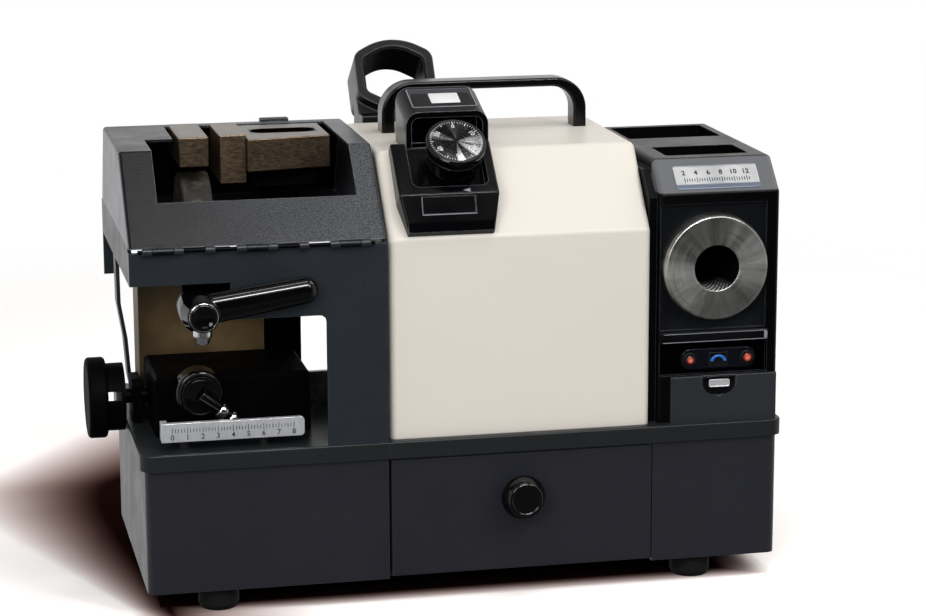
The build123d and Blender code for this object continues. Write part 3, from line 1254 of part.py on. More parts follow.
def left_strut():
    """Joggled strip from the band down to the deck, with a foot."""
    t = STRUT_T
    outer = [(STRUT_X, BAND_Z1 - STRUT_TOP)] + [(STRUT_X + x, DECK_Z + z) for x, z in STRUT_STEPS]
    foot_x = outer[-1][0] + STRUT_FOOT
    inner = [(x + t, z) for x, z in outer[:-1]] + [(outer[-1][0] + t, DECK_Z + t), (foot_x, DECK_Z + t)]
    strip = prism_y(outer + [(foot_x, DECK_Z)] + inner[::-1], STRUT_Y, STRUT_Y + STRUT_W)
    return strip + block(STRUT_X, STRUT_X + t, STRUT_Y, STRUT_Y + STRUT_W, BAND_Z1 - EAR_W * 2, BAND_Z1 - STRUT_TOP)


# Tap fixture

def tap_column():
    """Post with a cap plate for the moving blocks and a rail for the fixed one."""
    column = block(POST_X0, POST_X1, POST_Y, RAIL_Y1, DECK_Z, CAP_Z1)
    column += block(CAP_X0, CAP_X1, CAP_Y, RAIL_Y1, CAP_Z1 - CAP_T, CAP_Z1)
    column += block(ANVIL_X0, BAR_X1 - RAIL_END, RAIL_Y, RAIL_Y1, CAP_Z1 - CAP_T, RAIL_Z1)
    column -= rod("Z", BAR_SCREW_D, CAP_Z1 - CAP_T - CUT, CAP_Z1 + CUT, BAR_CX, BAR_POCKET_CY)
    column -= rod("Y", M5, RAIL_Y - CUT, RAIL_Y1 + CUT, (ANVIL_X0 + ANVIL_X1) / 2, anvil_screw_z())
    for up in GUARD_SCREW_UP:
        column -= rod("X", M4, POST_X0 - CUT, POST_X0 + M4 * 2, (POST_Y + GUARD_Y + GUARD_FLANGE) / 2, DECK_Z + up)
    return column


def anvil_screw_z():
    return (RAIL_Z1 + BLOCK_Z1 - ANVIL_H) / 2


def tap_anvil():
    anvil = block(ANVIL_X0, ANVIL_X1, ANVIL_Y, RAIL_Y, BLOCK_Z1 - ANVIL_H, BLOCK_Z1)
    anvil = chamfer(anvil.edges(), BLOCK_EDGE)
    return anvil - rod("Y", M5, RAIL_Y - 2 * M5, RAIL_Y + CUT, (ANVIL_X0 + ANVIL_X1) / 2, anvil_screw_z())


def jaw_block():
    jaw = block(JAW_X0, JAW_X1, JAW_Y, BLOCK_BACK, BLOCK_Z1 - JAW_H, BLOCK_Z1)
    return chamfer(jaw.edges(), BLOCK_EDGE)


def slotted_bar():
    outline = [(BAR_X0, BAR_Y - BAR_SKEW), (BAR_X1, BAR_Y), (BAR_X1, BLOCK_BACK), (BAR_X0, BLOCK_BACK)]
    bar = prism_z(outline, BAR_Z0, HOOD_Z1)
    bar = chamfer([edge for edge in bar.edges() if edge.center().X > BAR_X0 + CUT], BLOCK_EDGE)
    place = Pos(BAR_CX, BAR_POCKET_CY, 0)
    pocket = extrude(SlotOverall(BAR_POCKET_W, BAR_POCKET_D), amount=BAR_POCKET_DEEP + CUT)
    slot = extrude(SlotOverall(BAR_SLOT_W, BAR_SCREW_D + 4 * GAP), amount=BAR_H + 2 * CUT)
    bar -= place * Pos(0, 0, HOOD_Z1 - BAR_POCKET_DEEP) * pocket
    return bar - place * Pos(0, 0, BAR_Z0 - CUT) * slot


def brass_plate():
    x1 = POST_X0
    z1 = DECK_Z + GUARD_H
    plate = block(X_L + GUARD_OFF, x1, GUARD_Y, GUARD_Y + GUARD_T, DECK_Z, z1)
    plate += block(x1 - GUARD_T, x1, GUARD_Y, GUARD_Y + GUARD_FLANGE, DECK_Z, z1)
    for up in GUARD_SCREW_UP:
        plate -= rod("X", M4 + FIT, x1 - GUARD_T - CUT, x1 + CUT, (POST_Y + GUARD_Y + GUARD_FLANGE) / 2, DECK_Z + up)
    return plate


def chip_guard():
    """Small bent shield beside the post, with a stop bar on its edge."""
    x0 = POST_X1 + SHIELD_OFF
    x1 = x0 + SHIELD_W
    y1 = SHIELD_Y + SHIELD_D
    t = SHIELD_T
    shield = block(x0, x1, SHIELD_Y, y1, DECK_Z, DECK_Z + t)
    shield += block(x0, x1, SHIELD_Y, SHIELD_Y + t, DECK_Z, DECK_Z + SHIELD_H)
    shield += block(x0, x0 + t, SHIELD_Y, y1, DECK_Z, DECK_Z + SHIELD_H)
    z = DECK_Z + SHIELD_H
    return shield + block(x0, x1, SHIELD_Y, SHIELD_Y + SHIELD_BAR, z - SHIELD_BAR, z + SHIELD_BAR / 2)


def tap_carriage():
    body = block(CARRIAGE_X0, CARRIAGE_X1, CARRIAGE_Y0, CARRIAGE_Y1, CARRIAGE_Z0, CARRIAGE_Z0 + CARRIAGE_H)
    body = chamfer(body.faces().sort_by(Axis.Z)[-1].edges(), CARRIAGE_EDGE)
    body -= rod("X", FEED_D + 2 * RUN, CARRIAGE_X0 - CUT, CARRIAGE_X1 + CUT, FEED_Y, FEED_Z)
    reach = CARRIAGE_Y0 + LOCK_STUD_IN + GAP
    return body - rod("Y", LOCK_STUD_D + 2 * RUN, CARRIAGE_Y0 - CUT, reach, LOCK_X, LOCK_Z)


def lock_lever():
    y1 = CARRIAGE_Y0 - GAP
    y0 = y1 - LOCK_L
    hub = rod("Y", LOCK_D, y0, y1, LOCK_X, LOCK_Z)
    hub = fillet(hub.edges().filter_by(GeomType.CIRCLE).group_by(Axis.Y)[0], LOCK_R)
    hub += rod("Y", LOCK_STUD_D, y1 - CUT, y1 + LOCK_STUD_IN, LOCK_X, LOCK_Z)
    angle = math.radians(LOCK_ARM_ANGLE)
    along = (math.cos(angle), 0, math.sin(angle))
    r = LOCK_ARM_D / 2
    at = (LOCK_X, y0 - LOCK_ARM_OUT, LOCK_Z)
    return hub + turned([(0, 0), (r, 0), (r, LOCK_ARM_L), (0, LOCK_ARM_L)], at, along)


def feed_screw():
    return rod("X", FEED_D, FEED_X1, CARRIAGE_X1 - LOCK_STUD_D, FEED_Y, FEED_Z)


def feed_bearing():
    x0 = X_L + FEED_BLOCK_OFF
    x1 = x0 + FEED_BLOCK_T
    half = FEED_BLOCK_W / 2
    body = block(x0, x1, FEED_Y - half, FEED_Y + half, DECK_Z, DECK_Z + FEED_BLOCK_H)
    body = fillet(body.edges().filter_by(Axis.X).group_by(Axis.Z)[-1], half / 3)
    return body - rod("X", FEED_D + 2 * RUN, x0 - CUT, x1 + CUT, FEED_Y, FEED_Z)


def feed_knob():
    """Rim disc and inner disc, with a split hub between them."""
    x3 = FEED_X1
    x2 = x3 - FEED_BACK_T
    x1 = x2 - FEED_HUB_L
    x0 = x1 - FEED_KNOB_T
    disc = rod("X", FEED_KNOB_D, x0, x1, FEED_Y, FEED_Z)
    disc = fillet(disc.edges().filter_by(GeomType.CIRCLE), FEED_KNOB_R)
    hub = rod("X", FEED_HUB_D, x1 - CUT, x3, FEED_Y, FEED_Z)
    slot = Box(x2 - x1, 2 * FEED_HUB_D, FEED_SLOT)
    slot = Pos((x1 + x2) / 2, FEED_Y, FEED_Z) * Rot(-FEED_SLOT_TILT, 0, 0) * slot
    return disc + (hub - slot)


def scale_bar():
    x0 = FRAME_X0 + SCALE_OFF
    x1 = x0 + SCALE_L
    y0 = FRAME_Y0 + SCALE_SET
    z0 = DECK_Z + SCALE_UP
    bar = block(x0, x1, y0, y0 + SCALE_T, z0, z0 + SCALE_H)
    bar = fillet(bar.edges().filter_by(Axis.Y).group_by(Axis.X)[-1], SCALE_R)
    bar += block(x0, x0 + SCALE_T, y0, y0 + SCALE_BEND, z0, z0 + SCALE_H)
    for along in SCALE_POSTS:
        bar += rod("Z", SCALE_POST_D, DECK_Z, z0 + SCALE_H / 2, x0 + along, y0 + SCALE_T + SCALE_POST_D / 2 - FIT)
    return bar


def lever_bracket():
    x0 = LEVER_X - BRACKET_LEFT
    x1 = LEVER_X + BRACKET_RIGHT
    y0 = FRAME_Y1 + LEVER_BOSS_IN + GAP
    z1 = FRAME_Z1 - BRACKET_TOP
    bracket = block(x0, x1, y0, y0 + BRACKET_L, LEVER_Z - BRACKET_DROP, z1)
    bracket = fillet(bracket.edges().filter_by(Axis.Y).group_by(Axis.Z)[0], BRACKET_R)
    bracket += block(x0, x1, FRAME_Y1, y0 + CUT, z1 - BRACKET_FLANGE, z1)
    reach = y0 + LEVER_STUD_IN + GAP
    return bracket - rod("Y", LEVER_STUD_D + 2 * RUN, y0 - CUT, reach, LEVER_X, LEVER_Z)


def lever_stud():
    y0 = FRAME_Y1 + LEVER_BOSS_IN
    return rod("Y", LEVER_STUD_D, y0 - LEVER_STUD_D, y0 + LEVER_STUD_IN, LEVER_X, LEVER_Z)


def clamp_lever():
    y1 = FRAME_Y1 + LEVER_BOSS_IN
    y0 = FRAME_Y0 - LEVER_HUB_FRONT
    boss = rod("Y", LEVER_BOSS_D, FRAME_Y0 - LEVER_BOSS_OUT, y1, LEVER_X, LEVER_Z)
    root = FRAME_Y0 - LEVER_BOSS_OUT
    profile = [(0, 0), (LEVER_BOSS_D / 2, 0), (LEVER_HUB_D / 2, root - y0), (0, root - y0)]
    hub = turned(profile, (LEVER_X, root, LEVER_Z), (0, -1, 0))
    hub = fillet(hub.edges().filter_by(GeomType.CIRCLE).group_by(Axis.Y)[0], LEVER_EDGE_R)
    y3 = FRAME_Y0 - LEVER_ARM_GAP
    y2 = y3 - LEVER_ARM_T
    r = LEVER_END / 2
    outline = [(0, -LEVER_ROOT / 2), (LEVER_ARM_L - r, -r), (LEVER_ARM_L - r, r), (0, LEVER_ROOT / 2)]
    arm = prism_y(outline, y2, y3) + rod("Y", LEVER_END, y2, y3, LEVER_ARM_L - r, 0)
    arm = chamfer([edge for edge in arm.edges() if edge.center().X > LEVER_HUB_D / 2
                   and edge.bounding_box().size.Y < CUT], LEVER_EDGE)
    arm = Pos(LEVER_X, 0, LEVER_Z) * Rot(0, -LEVER_ANGLE, 0) * Pos(0, 0, LEVER_ARM_UP) * arm
    lever = boss + hub + arm
    return lever - rod("Y", LEVER_STUD_D, y1 - LEVER_STUD_D, y1 + CUT, LEVER_X, LEVER_Z)


def cap_screws():
    """Every fixed cap screw of the machine."""
    length = FOOT_H - FOOT_BORE_H + BASE_FLOOR + M5
    screws = [screw((x, y, FOOT_BORE_H), (0, 0, 1), M5, length) for x, y in foot_places()]
    top = COVER_TOP - COVER_T
    screws += [screw((x, HANDLE_CY, top), (0, 0, 1), M5, COVER_T + HANDLE_SCREW_L - CUT) for x in HANDLE_XS]
    back = COVER_Y1 - COVER_T
    screws += [screw((x, back, HOLDER_SCREW_Z), (0, 1, 0), M5, COVER_T + HOLDER_SCREW_L) for x in HOLDER_XS]
    pocket = HOOD_Z1 - BAR_POCKET_DEEP + GAP
    screws.append(screw((BAR_CX, BAR_POCKET_CY, pocket), (0, 0, -1), BAR_SCREW_D, BAR_SCREW_L))
    anvil_x = (ANVIL_X0 + ANVIL_X1) / 2
    screws.append(screw((anvil_x, RAIL_Y1, anvil_screw_z()), (0, -1, 0), M5, RAIL_T + M5))
    y = (POST_Y + GUARD_Y + GUARD_FLANGE) / 2
    screws += [screw((POST_X0 - GUARD_T, y, DECK_Z + up), (1, 0, 0), M4, M4 * 2) for up in GUARD_SCREW_UP]
    return group(screws)


NODES = (tap_base, main_base, tap_deck, main_deck, feet, cap_screws, drawer_runners, main_cover, rear_cover,
         carry_handle, chuck_holder, dial_base, dial_visor, motor_body, motor_end_bells, shaft_bearings,
         motor_cradle, drill_housing, port_flange, port_bush, control_panel, lower_cover, power_inlet,
         control_board, tap_frame, hinge_pin, left_strut, brass_plate, tap_column, tap_anvil, lever_bracket,
         scale_bar, feed_bearing, chip_guard, hood, hinge_barrels, drawer_tray, drawer_front, drawer_knob,
         knob_screw, dial_knob, dial_plate, dial_shaft, rotor_shaft, rotor_core, tap_wheel, drill_wheel,
         wheel_flanges, wheel_nuts, clamp_lever, lever_stud, tap_carriage, lock_lever, feed_knob, feed_screw,
         jaw_block, slotted_bar, button_left, button_right, rocker_switch)

os.makedirs("parts", exist_ok=True)
for node in NODES:
    export_step(node(), "parts/" + node.__name__ + ".step")
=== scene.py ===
import math

import bmesh
import bpy
from mathutils import Euler, Matrix, Vector


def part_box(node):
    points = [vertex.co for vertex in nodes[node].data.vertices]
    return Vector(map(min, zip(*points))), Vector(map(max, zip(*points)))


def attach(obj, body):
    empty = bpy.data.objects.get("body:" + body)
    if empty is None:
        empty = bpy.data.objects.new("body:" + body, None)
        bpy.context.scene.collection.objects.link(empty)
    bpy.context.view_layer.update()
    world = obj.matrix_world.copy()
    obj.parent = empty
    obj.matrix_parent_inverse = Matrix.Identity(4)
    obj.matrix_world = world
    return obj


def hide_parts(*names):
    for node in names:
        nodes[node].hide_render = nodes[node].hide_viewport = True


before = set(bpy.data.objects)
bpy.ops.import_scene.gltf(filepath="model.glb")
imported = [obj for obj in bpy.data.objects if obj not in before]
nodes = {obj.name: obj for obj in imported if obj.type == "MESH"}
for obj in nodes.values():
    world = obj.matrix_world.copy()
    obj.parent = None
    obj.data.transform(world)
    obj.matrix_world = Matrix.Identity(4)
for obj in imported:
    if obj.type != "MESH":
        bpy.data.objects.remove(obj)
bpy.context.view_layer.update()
MM = 0.001

# Places on the machine, in mm

PORT = (169.0, -92.6, 217.0)
BUTTONS_X = (153.4, 193.6)
BUTTONS_Z = 153.0
HOOD_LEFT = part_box("hood")[0][0] / MM
RING_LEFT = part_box("chuck_holder")[0][0] / MM


# Colours and finishes

def srgb(r, g, b):
    """A colour as the eye reads it, 0 to 255, in the shader's linear values."""
    linear = []
    for c in (r / 255, g / 255, b / 255):
        linear.append(c / 12.92 if c < 0.04 else ((c + 0.055) / 1.055) ** 2.4)
    return (*linear, 1.0)


def shade(colour, factor):
    """A colour made lighter or darker, before it goes to a shader."""
    return (colour[0] * factor, colour[1] * factor, colour[2] * factor, 1.0)


class Finish:
    """A procedural finish: its material, its shader and short ways to add nodes to it."""

    def __init__(self, name):
        self.material = bpy.data.materials.new(name)
        self.material.use_nodes = True
        self.tree = self.material.node_tree
        self.shader = self.tree.nodes["Principled BSDF"]
        self.coordinates = self.add("ShaderNodeTexCoord")
        self.place = self.coordinates.outputs["Object"]

    def add(self, kind, **settings):
        """A new node of this finish, with its settings."""
        node = self.tree.nodes.new(kind)
        for key, value in settings.items():
            setattr(node, key, value)
        return node

    def feed(self, socket, value):
        """Joins an output to a socket, or sets the socket's own value."""
        if isinstance(value, bpy.types.NodeSocket):
            self.tree.links.new(value, socket)
        else:
            socket.default_value = value

    def set(self, **sockets):
        """Feeds sockets of the shader, whose names have _ for a space."""
        for name, value in sockets.items():
            self.feed(self.shader.inputs[name.replace("_", " ")], value)

    def moved(self, centre=(0, 0, 0), tilt=0, stretch=(1, 1, 1)):
        """The object's coordinates, read from a centre in mm, tilted about X in degrees and stretched."""
        node = self.add("ShaderNodeMapping", vector_type="TEXTURE")
        self.feed(node.inputs["Vector"], self.place)
        node.inputs["Location"].default_value = [c * MM for c in centre]
        node.inputs["Rotation"].default_value = (math.radians(tilt), 0, 0)
        node.inputs["Scale"].default_value = stretch
        return node.outputs["Vector"]

    def noise(self, scale, detail=3.0, place=None, rough=0.5):
        """Cloudy pattern, from 0 to 1."""
        node = self.add("ShaderNodeTexNoise")
        self.feed(node.inputs["Vector"], place or self.place)
        node.inputs["Scale"].default_value = scale
        node.inputs["Detail"].default_value = detail
        node.inputs["Roughness"].default_value = rough
        return node.outputs[0]

    def cells(self, scale):
        """Pattern of packed grains."""
        node = self.add("ShaderNodeTexVoronoi")
        self.feed(node.inputs["Vector"], self.place)
        node.inputs["Scale"].default_value = scale
        return node

    def spread(self, value, low, high, start=0.3, end=0.7):
        """Maps a pattern's range from start to end onto low to high."""
        node = self.add("ShaderNodeMapRange")
        for socket, number in zip(node.inputs, (value, start, end, low, high)):
            self.feed(socket, number)
        return node.outputs[0]

    def maths(self, operation, *values):
        node = self.add("ShaderNodeMath", operation=operation)
        for socket, value in zip(node.inputs, values):
            self.feed(socket, value)
        return node.outputs[0]

    def times(self, a, b):
        return self.maths("MULTIPLY", a, b)

    def plus(self, a, b):
        return self.maths("ADD", a, b)

    def greater(self, a, b):
        return self.maths("MAXIMUM", a, b)

    def mix(self, factor, a, b):
        """Colour a where factor is 0, colour b where it is 1."""
        node = self.add("ShaderNodeMix", data_type="RGBA")
        self.feed(node.inputs[0], factor)
        self.feed(node.inputs[6], a)
        self.feed(node.inputs[7], b)
        return node.outputs[2]

    def scaled(self, colour, factor):
        """A colour made lighter or darker by a factor."""
        node = self.add("ShaderNodeVectorMath", operation="SCALE")
        self.feed(node.inputs[0], colour)
        self.feed(node.inputs["Scale"], factor)
        return node.outputs[0]

    def sweep(self, which, start, end, low, high):
        """A factor that goes from low to high between two places on an axis, in mm."""
        return self.spread(self.axis(self.place, which), low, high, start * MM, end * MM)

    def axis(self, vector, which):
        return self.split(vector)[which]

    def split(self, vector):
        """The X, Y and Z of a vector."""
        node = self.add("ShaderNodeSeparateXYZ")
        self.feed(node.inputs[0], vector)
        return node.outputs

    def span(self, x, y):
        """Distance from the origin in a plane."""
        squares = self.plus(self.times(x, x), self.times(y, y))
        return self.maths("SQRT", squares, 0.0)

    def soft(self, radius):
        """Edges rounded by a radius in mm: the normal they give, and a mask that is 1 on an edge."""
        node = self.add("ShaderNodeBevel", samples=6)
        node.inputs["Radius"].default_value = radius * MM
        flat = self.add("ShaderNodeNewGeometry")
        dot = self.add("ShaderNodeVectorMath", operation="DOT_PRODUCT")
        self.feed(dot.inputs[0], node.outputs[0])
        self.feed(dot.inputs[1], flat.outputs["Normal"])
        return node.outputs[0], self.spread(dot.outputs["Value"], 1.0, 0.0, 0.75, 0.995)

    def zone(self, low, high, edge=0.4):
        """1 inside a box between two corners in mm, 0 outside it."""
        inside = None
        for axis, a, b in zip("XYZ", low, high):
            value = self.axis(self.place, axis)
            for start, end in ((a - edge, a + edge), (b + edge, b - edge)):
                step = self.spread(value, 0.0, 1.0, start * MM, end * MM)
                inside = step if inside is None else self.times(inside, step)
        return inside

    def upward(self):
        """1 on faces that look up."""
        flat = self.add("ShaderNodeNewGeometry")
        return self.spread(self.axis(flat.outputs["Normal"], "Z"), 0.0, 1.0, 0.8, 0.95)

    def under(self, point, facing, depth, edge=0.4):
        """1 for what is deeper than depth behind a plane, all in mm."""
        node = self.add("ShaderNodeVectorMath", operation="DOT_PRODUCT")
        self.feed(node.inputs[0], self.moved(point))
        node.inputs[1].default_value = facing
        return self.spread(node.outputs["Value"], 1.0, 0.0, -(depth + edge) * MM, -(depth - edge) * MM)

    def relief(self, height, strength, depth, normal=None):
        """The normal of a surface that a pattern raises by a depth in mm."""
        node = self.add("ShaderNodeBump")
        node.inputs["Strength"].default_value = strength
        node.inputs["Distance"].default_value = depth * MM
        self.feed(node.inputs["Height"], height)
        if normal is not None:
            self.feed(node.inputs["Normal"], normal)
        return node.outputs[0]


def coated(name, tint, grain=900, rough=(0.4, 0.52), shine=0.35, relief=0.12, edge=None, drift=0.07,
           soft=0.6, dark=(), skin=None, patches=(), pebble=0.0, sweep=None, deep=0.1, bore=None):
    """Paint or moulded plastic: faint drift of tone, fine grain, edges lighter as wear and painted
    highlight.

    Grain is the scale of the fine pattern, relief how strongly it stands out and deep its height in mm.
    Soft is the radius of the edges in mm. Boxes listed in dark, in mm, are recesses painted almost black
    as shade, if they are under the skin's plane. Boxes listed in patches have another tint, and may give
    the width of their edge. Pebble is how far the grain changes the tone, and sweep (axis, start, end,
    low, high) changes it along an axis in mm. Bore (middle, tilt, radius) paints shade, almost black,
    inside a hole behind its mouth."""
    f = Finish(name)
    normal, rim = f.soft(soft)
    broad = f.spread(f.noise(8, 4), 0, 1)
    tone = f.mix(broad, shade(tint, 1 - drift), shade(tint, 1 + drift))
    if pebble:
        tone = f.scaled(tone, f.spread(f.noise(grain, 2), 1 - pebble, 1 + pebble, 0.35, 0.65))
    if sweep:
        tone = f.scaled(tone, f.sweep(*sweep))
    for low, high, other, *edge_width in patches:
        patch = f.mix(broad, shade(other, 1 - drift), shade(other, 1 + drift))
        tone = f.mix(f.zone(low, high, *edge_width), tone, patch)
    # Edges lighter in the colour edge: partly wear, partly painted highlight.
    edge_wear_and_highlight = f.times(rim, f.spread(f.noise(160, 4), 0.3, 0.9))
    tone = f.mix(edge_wear_and_highlight, tone, edge or shade(tint, 1.5))
    gloss = None
    # Painted shade: recesses almost black, and reflecting less.
    for low, high in dark:
        inside = f.zone(low, high)
        if skin:
            inside = f.times(inside, f.under(*skin))
        tone = f.mix(inside, tone, shade(tint, 0.2))
        open_part = f.spread(inside, 1.0, 0.25, 0.0, 1.0)
        gloss = open_part if gloss is None else f.times(gloss, open_part)
    # Painted shade: almost black inside the bore, behind its mouth, and reflecting less.
    if bore:
        middle, tilt, radius = bore
        x, y, z = f.split(f.moved(middle, tilt))
        inside = f.times(f.spread(f.span(x, y), 1.0, 0.0, radius * MM, (radius + 0.6) * MM),
                         f.spread(z, 1.0, 0.0, -2.6 * MM, -1.4 * MM))
        tone = f.mix(inside, tone, shade(tint, 0.12))
        gloss = f.spread(inside, 1.0, 0.12, 0.0, 1.0)
    f.set(Base_Color=tone)
    f.set(Roughness=f.spread(f.noise(40, 5), *rough))
    f.set(Specular_IOR_Level=shine)
    if gloss is not None:
        f.set(Specular_IOR_Level=f.times(gloss, shine))
    f.set(Normal=f.relief(f.noise(grain, 2), relief, deep, normal))
    return f.material


def metal(name, tint, rough=(0.2, 0.35), grain=(1, 1, 1), scale=120, drift=0.15, relief=0.05, edge=1.25,
          soft=0.4, bare=1.0, top=None, dark=(), sweeps=(), patches=()):
    """Bare or plated metal, brushed along the axis in which grain is long.

    Edge is how much lighter the edges are, partly wear and partly painted highlight. Upper faces get a
    painted reflection in the colour top, and boxes listed in dark, in mm, are painted almost black as
    shade. Sweeps change the tone along an axis, and boxes listed in patches have another tint."""
    f = Finish(name)
    normal, rim = f.soft(soft)
    lines = f.noise(scale, 4, f.moved(stretch=grain))
    blend = f.plus(f.times(lines, 0.6), f.times(f.noise(18, 4), 0.4))
    tone = f.mix(f.spread(blend, 0, 1, 0.35, 0.65), shade(tint, 1 - drift), shade(tint, 1 + drift))
    # Painted reflection: upper faces lighter in the colour top.
    if top:
        painted_light = f.times(f.upward(), f.spread(f.noise(90, 5), 0.45, 1.0))
        tone = f.mix(painted_light, tone, top)
    for sweep in sweeps:
        tone = f.scaled(tone, f.sweep(*sweep))
    for low, high, other in patches:
        tone = f.mix(f.zone(low, high), tone, other)
    # Edges lighter: partly wear, partly painted highlight.
    tone = f.mix(f.times(rim, 0.7), tone, shade(tint, edge))
    # Painted shade: boxes almost black.
    for low, high in dark:
        tone = f.mix(f.zone(low, high), tone, shade(tint, 0.03))
    f.set(Base_Color=tone)
    f.set(Metallic=bare)
    f.set(Roughness=f.spread(lines, *rough))
    f.set(Normal=f.relief(lines, relief, 0.1, normal))
    return f.material


def abrasive(name, tint):
    """Bonded grain: bright and dull grits in a paler bond."""
    f = Finish(name)
    grit = f.cells(900)
    tone = f.mix(f.spread(grit.outputs["Distance"], 0, 1, 0.1, 0.7), shade(tint, 1.1), shade(tint, 0.72))
    load = f.mix(f.spread(f.noise(90, 5), 0, 0.95, 0.4, 0.56), tone, shade(tint, 0.12))
    f.set(Base_Color=load)
    f.set(Roughness=f.spread(f.noise(500, 3), 0.75, 0.95))
    f.set(Normal=f.relief(grit.outputs["Distance"], 0.7, 0.4))
    return f.material


def toothed(name, middle, teeth, twist):
    """Bore painted black as shade, whose teeth get a painted highlight near the mouth, at the lower left.

    Middle is (x, y, z) in mm, and twist how far the pattern of teeth turns in a metre of depth."""
    f = Finish(name)
    x, depth, z = f.split(f.moved(middle))
    around = f.times(f.maths("ARCTAN2", z, x), float(teeth))
    wave = f.maths("SINE", f.plus(around, f.times(depth, twist)))
    tooth = f.times(f.spread(wave, 0.0, 1.0, -0.2, 0.5), f.spread(depth, 1.0, 0.0, 2 * MM, 22 * MM))
    low = f.times(f.spread(z, 1.0, 0.0, -9 * MM, -1 * MM), f.spread(x, 1.0, 0.0, 2 * MM, 11 * MM))
    # Painted highlight on the teeth at the lower left near the mouth, painted shade elsewhere in the bore.
    painted_light = f.times(f.times(tooth, low), f.spread(f.noise(500, 3), 0.7, 1.0))
    f.set(Base_Color=f.mix(painted_light, srgb(10, 10, 11), srgb(252, 251, 248)))
    f.set(Metallic=f.spread(painted_light, 0.3, 0.1, 0.0, 1.0))
    f.set(Roughness=f.spread(f.noise(200, 3), 0.25, 0.4))
    f.set(Normal=f.relief(tooth, 0.4, 0.3))
    return f.material


def lens(name, tint, glow, middle=None, radius=2.5):
    """A lit push button: translucent colour, brighter in the middle from its own light and a painted
    highlight.
    Middle is (x, z) in mm.
    """
    f = Finish(name)
    normal, rim = f.soft(0.6)
    cloud = f.spread(f.noise(300, 3), 0, 1)
    tone = f.mix(cloud, shade(tint, 0.8), shade(tint, 1.15))
    if middle:
        x, _, z = f.split(f.moved((middle[0], 0, middle[1])))
        reach = f.span(x, z)
        core = f.spread(reach, 1.0, 0.0, 0.2 * radius * MM, 0.75 * radius * MM)
        # Pale core: partly the button's own light, partly a painted highlight.
        tone = f.mix(core, tone, srgb(222, 122, 100))
        tone = f.mix(f.spread(reach, 0.0, 1.0, 0.8 * radius * MM, radius * MM), tone, srgb(24, 10, 10))
    f.set(Base_Color=f.mix(rim, tone, shade(tint, 0.5)))
    f.set(Emission_Color=tone)
    f.set(Emission_Strength=glow)
    f.set(Roughness=f.spread(f.noise(200, 2), 0.12, 0.25))
    f.set(Normal=f.relief(cloud, 0.04, 0.1, normal))
    return f.material


# Finishes of this machine

# The edge colours of these finishes are partly wear and partly painted highlight.
GREY_EDGE = srgb(92, 95, 102)
BASE_COAT = coated("base coat", srgb(37, 38, 44), grain=1400, rough=(0.3, 0.4), shine=0.24,
                   edge=srgb(78, 82, 92), pebble=0.2)
SHEET_COAT = coated("sheet coat", srgb(37, 42, 47), grain=1400, rough=(0.3, 0.4), shine=0.24,
                    edge=srgb(96, 102, 110), pebble=0.2)
DECK_COAT = coated("deck coat", srgb(33, 36, 38), grain=1400, rough=(0.28, 0.38), shine=0.16,
                   edge=srgb(96, 100, 106), pebble=0.08)
CREAM_COAT = coated("cream coat", srgb(222, 216, 206), grain=1100, rough=(0.34, 0.44), shine=0.25,
                    relief=0.08, edge=srgb(238, 234, 226), drift=0.015, soft=1.2)
# Hood: the sweep paints shade towards the left and light towards the right, the dark box paints shade inside
# the hood, and the patch on the left end is a painted reflection, paler.
HOOD_COAT = coated("pebbled hood coat", srgb(39, 41, 44), grain=1050, rough=(0.26, 0.36), shine=0.24,
                   relief=0.5, edge=srgb(140, 142, 148), soft=1.1, deep=0.25, pebble=0.85,
                   sweep=("X", -205, -65, 0.1, 1.9),
                   dark=[((-219.5, -99, 240), (-57, 90, 299.0))],
                   skin=((-140, -101.3, 246.6), (0, -0.704, 0.711), 1.4),
                   patches=[((-230, -110, 180), (HOOD_LEFT + 0.5, 100, 300), srgb(118, 118, 127))])
# Housing: the sweep paints shade towards the right, the dark box paints shade in the recess under the lip,
# and the last patch paints light on the lower part of the disc's recess.
HOUSING_COAT = coated("housing coat", srgb(6, 6, 7), grain=1500, rough=(0.24, 0.34), shine=0.08,
                      relief=0.1, edge=GREY_EDGE, sweep=("X", 172, 213, 1.0, 0.5),
                      dark=[((132.9, -94.3, 143), (206, -60, 171))],
                      patches=[((131, -94.4, 267.2), (216, -72.6, 287.0), srgb(104, 105, 108)),
                               ((132.9, -94.3, 171), (206, -60, 262), srgb(15, 17, 20)),
                               ((138, -94.3, 165), (201, -60, 180), srgb(30, 32, 37), 6.0)])
LOWER_COAT = coated("lower cover coat", srgb(42, 45, 49), grain=1500, rough=(0.3, 0.4), shine=0.22,
                    relief=0.1, edge=srgb(150, 153, 158))
HANDLE_COAT = coated("handle coat", srgb(8, 8, 9), rough=(0.12, 0.2), shine=0.22, relief=0.05,
                     edge=srgb(140, 142, 148), soft=1.2)
FEED_COAT = coated("feed knob coat", srgb(5, 5, 6), rough=(0.5, 0.6), shine=0.02, relief=0.1,
                   edge=srgb(40, 41, 44))
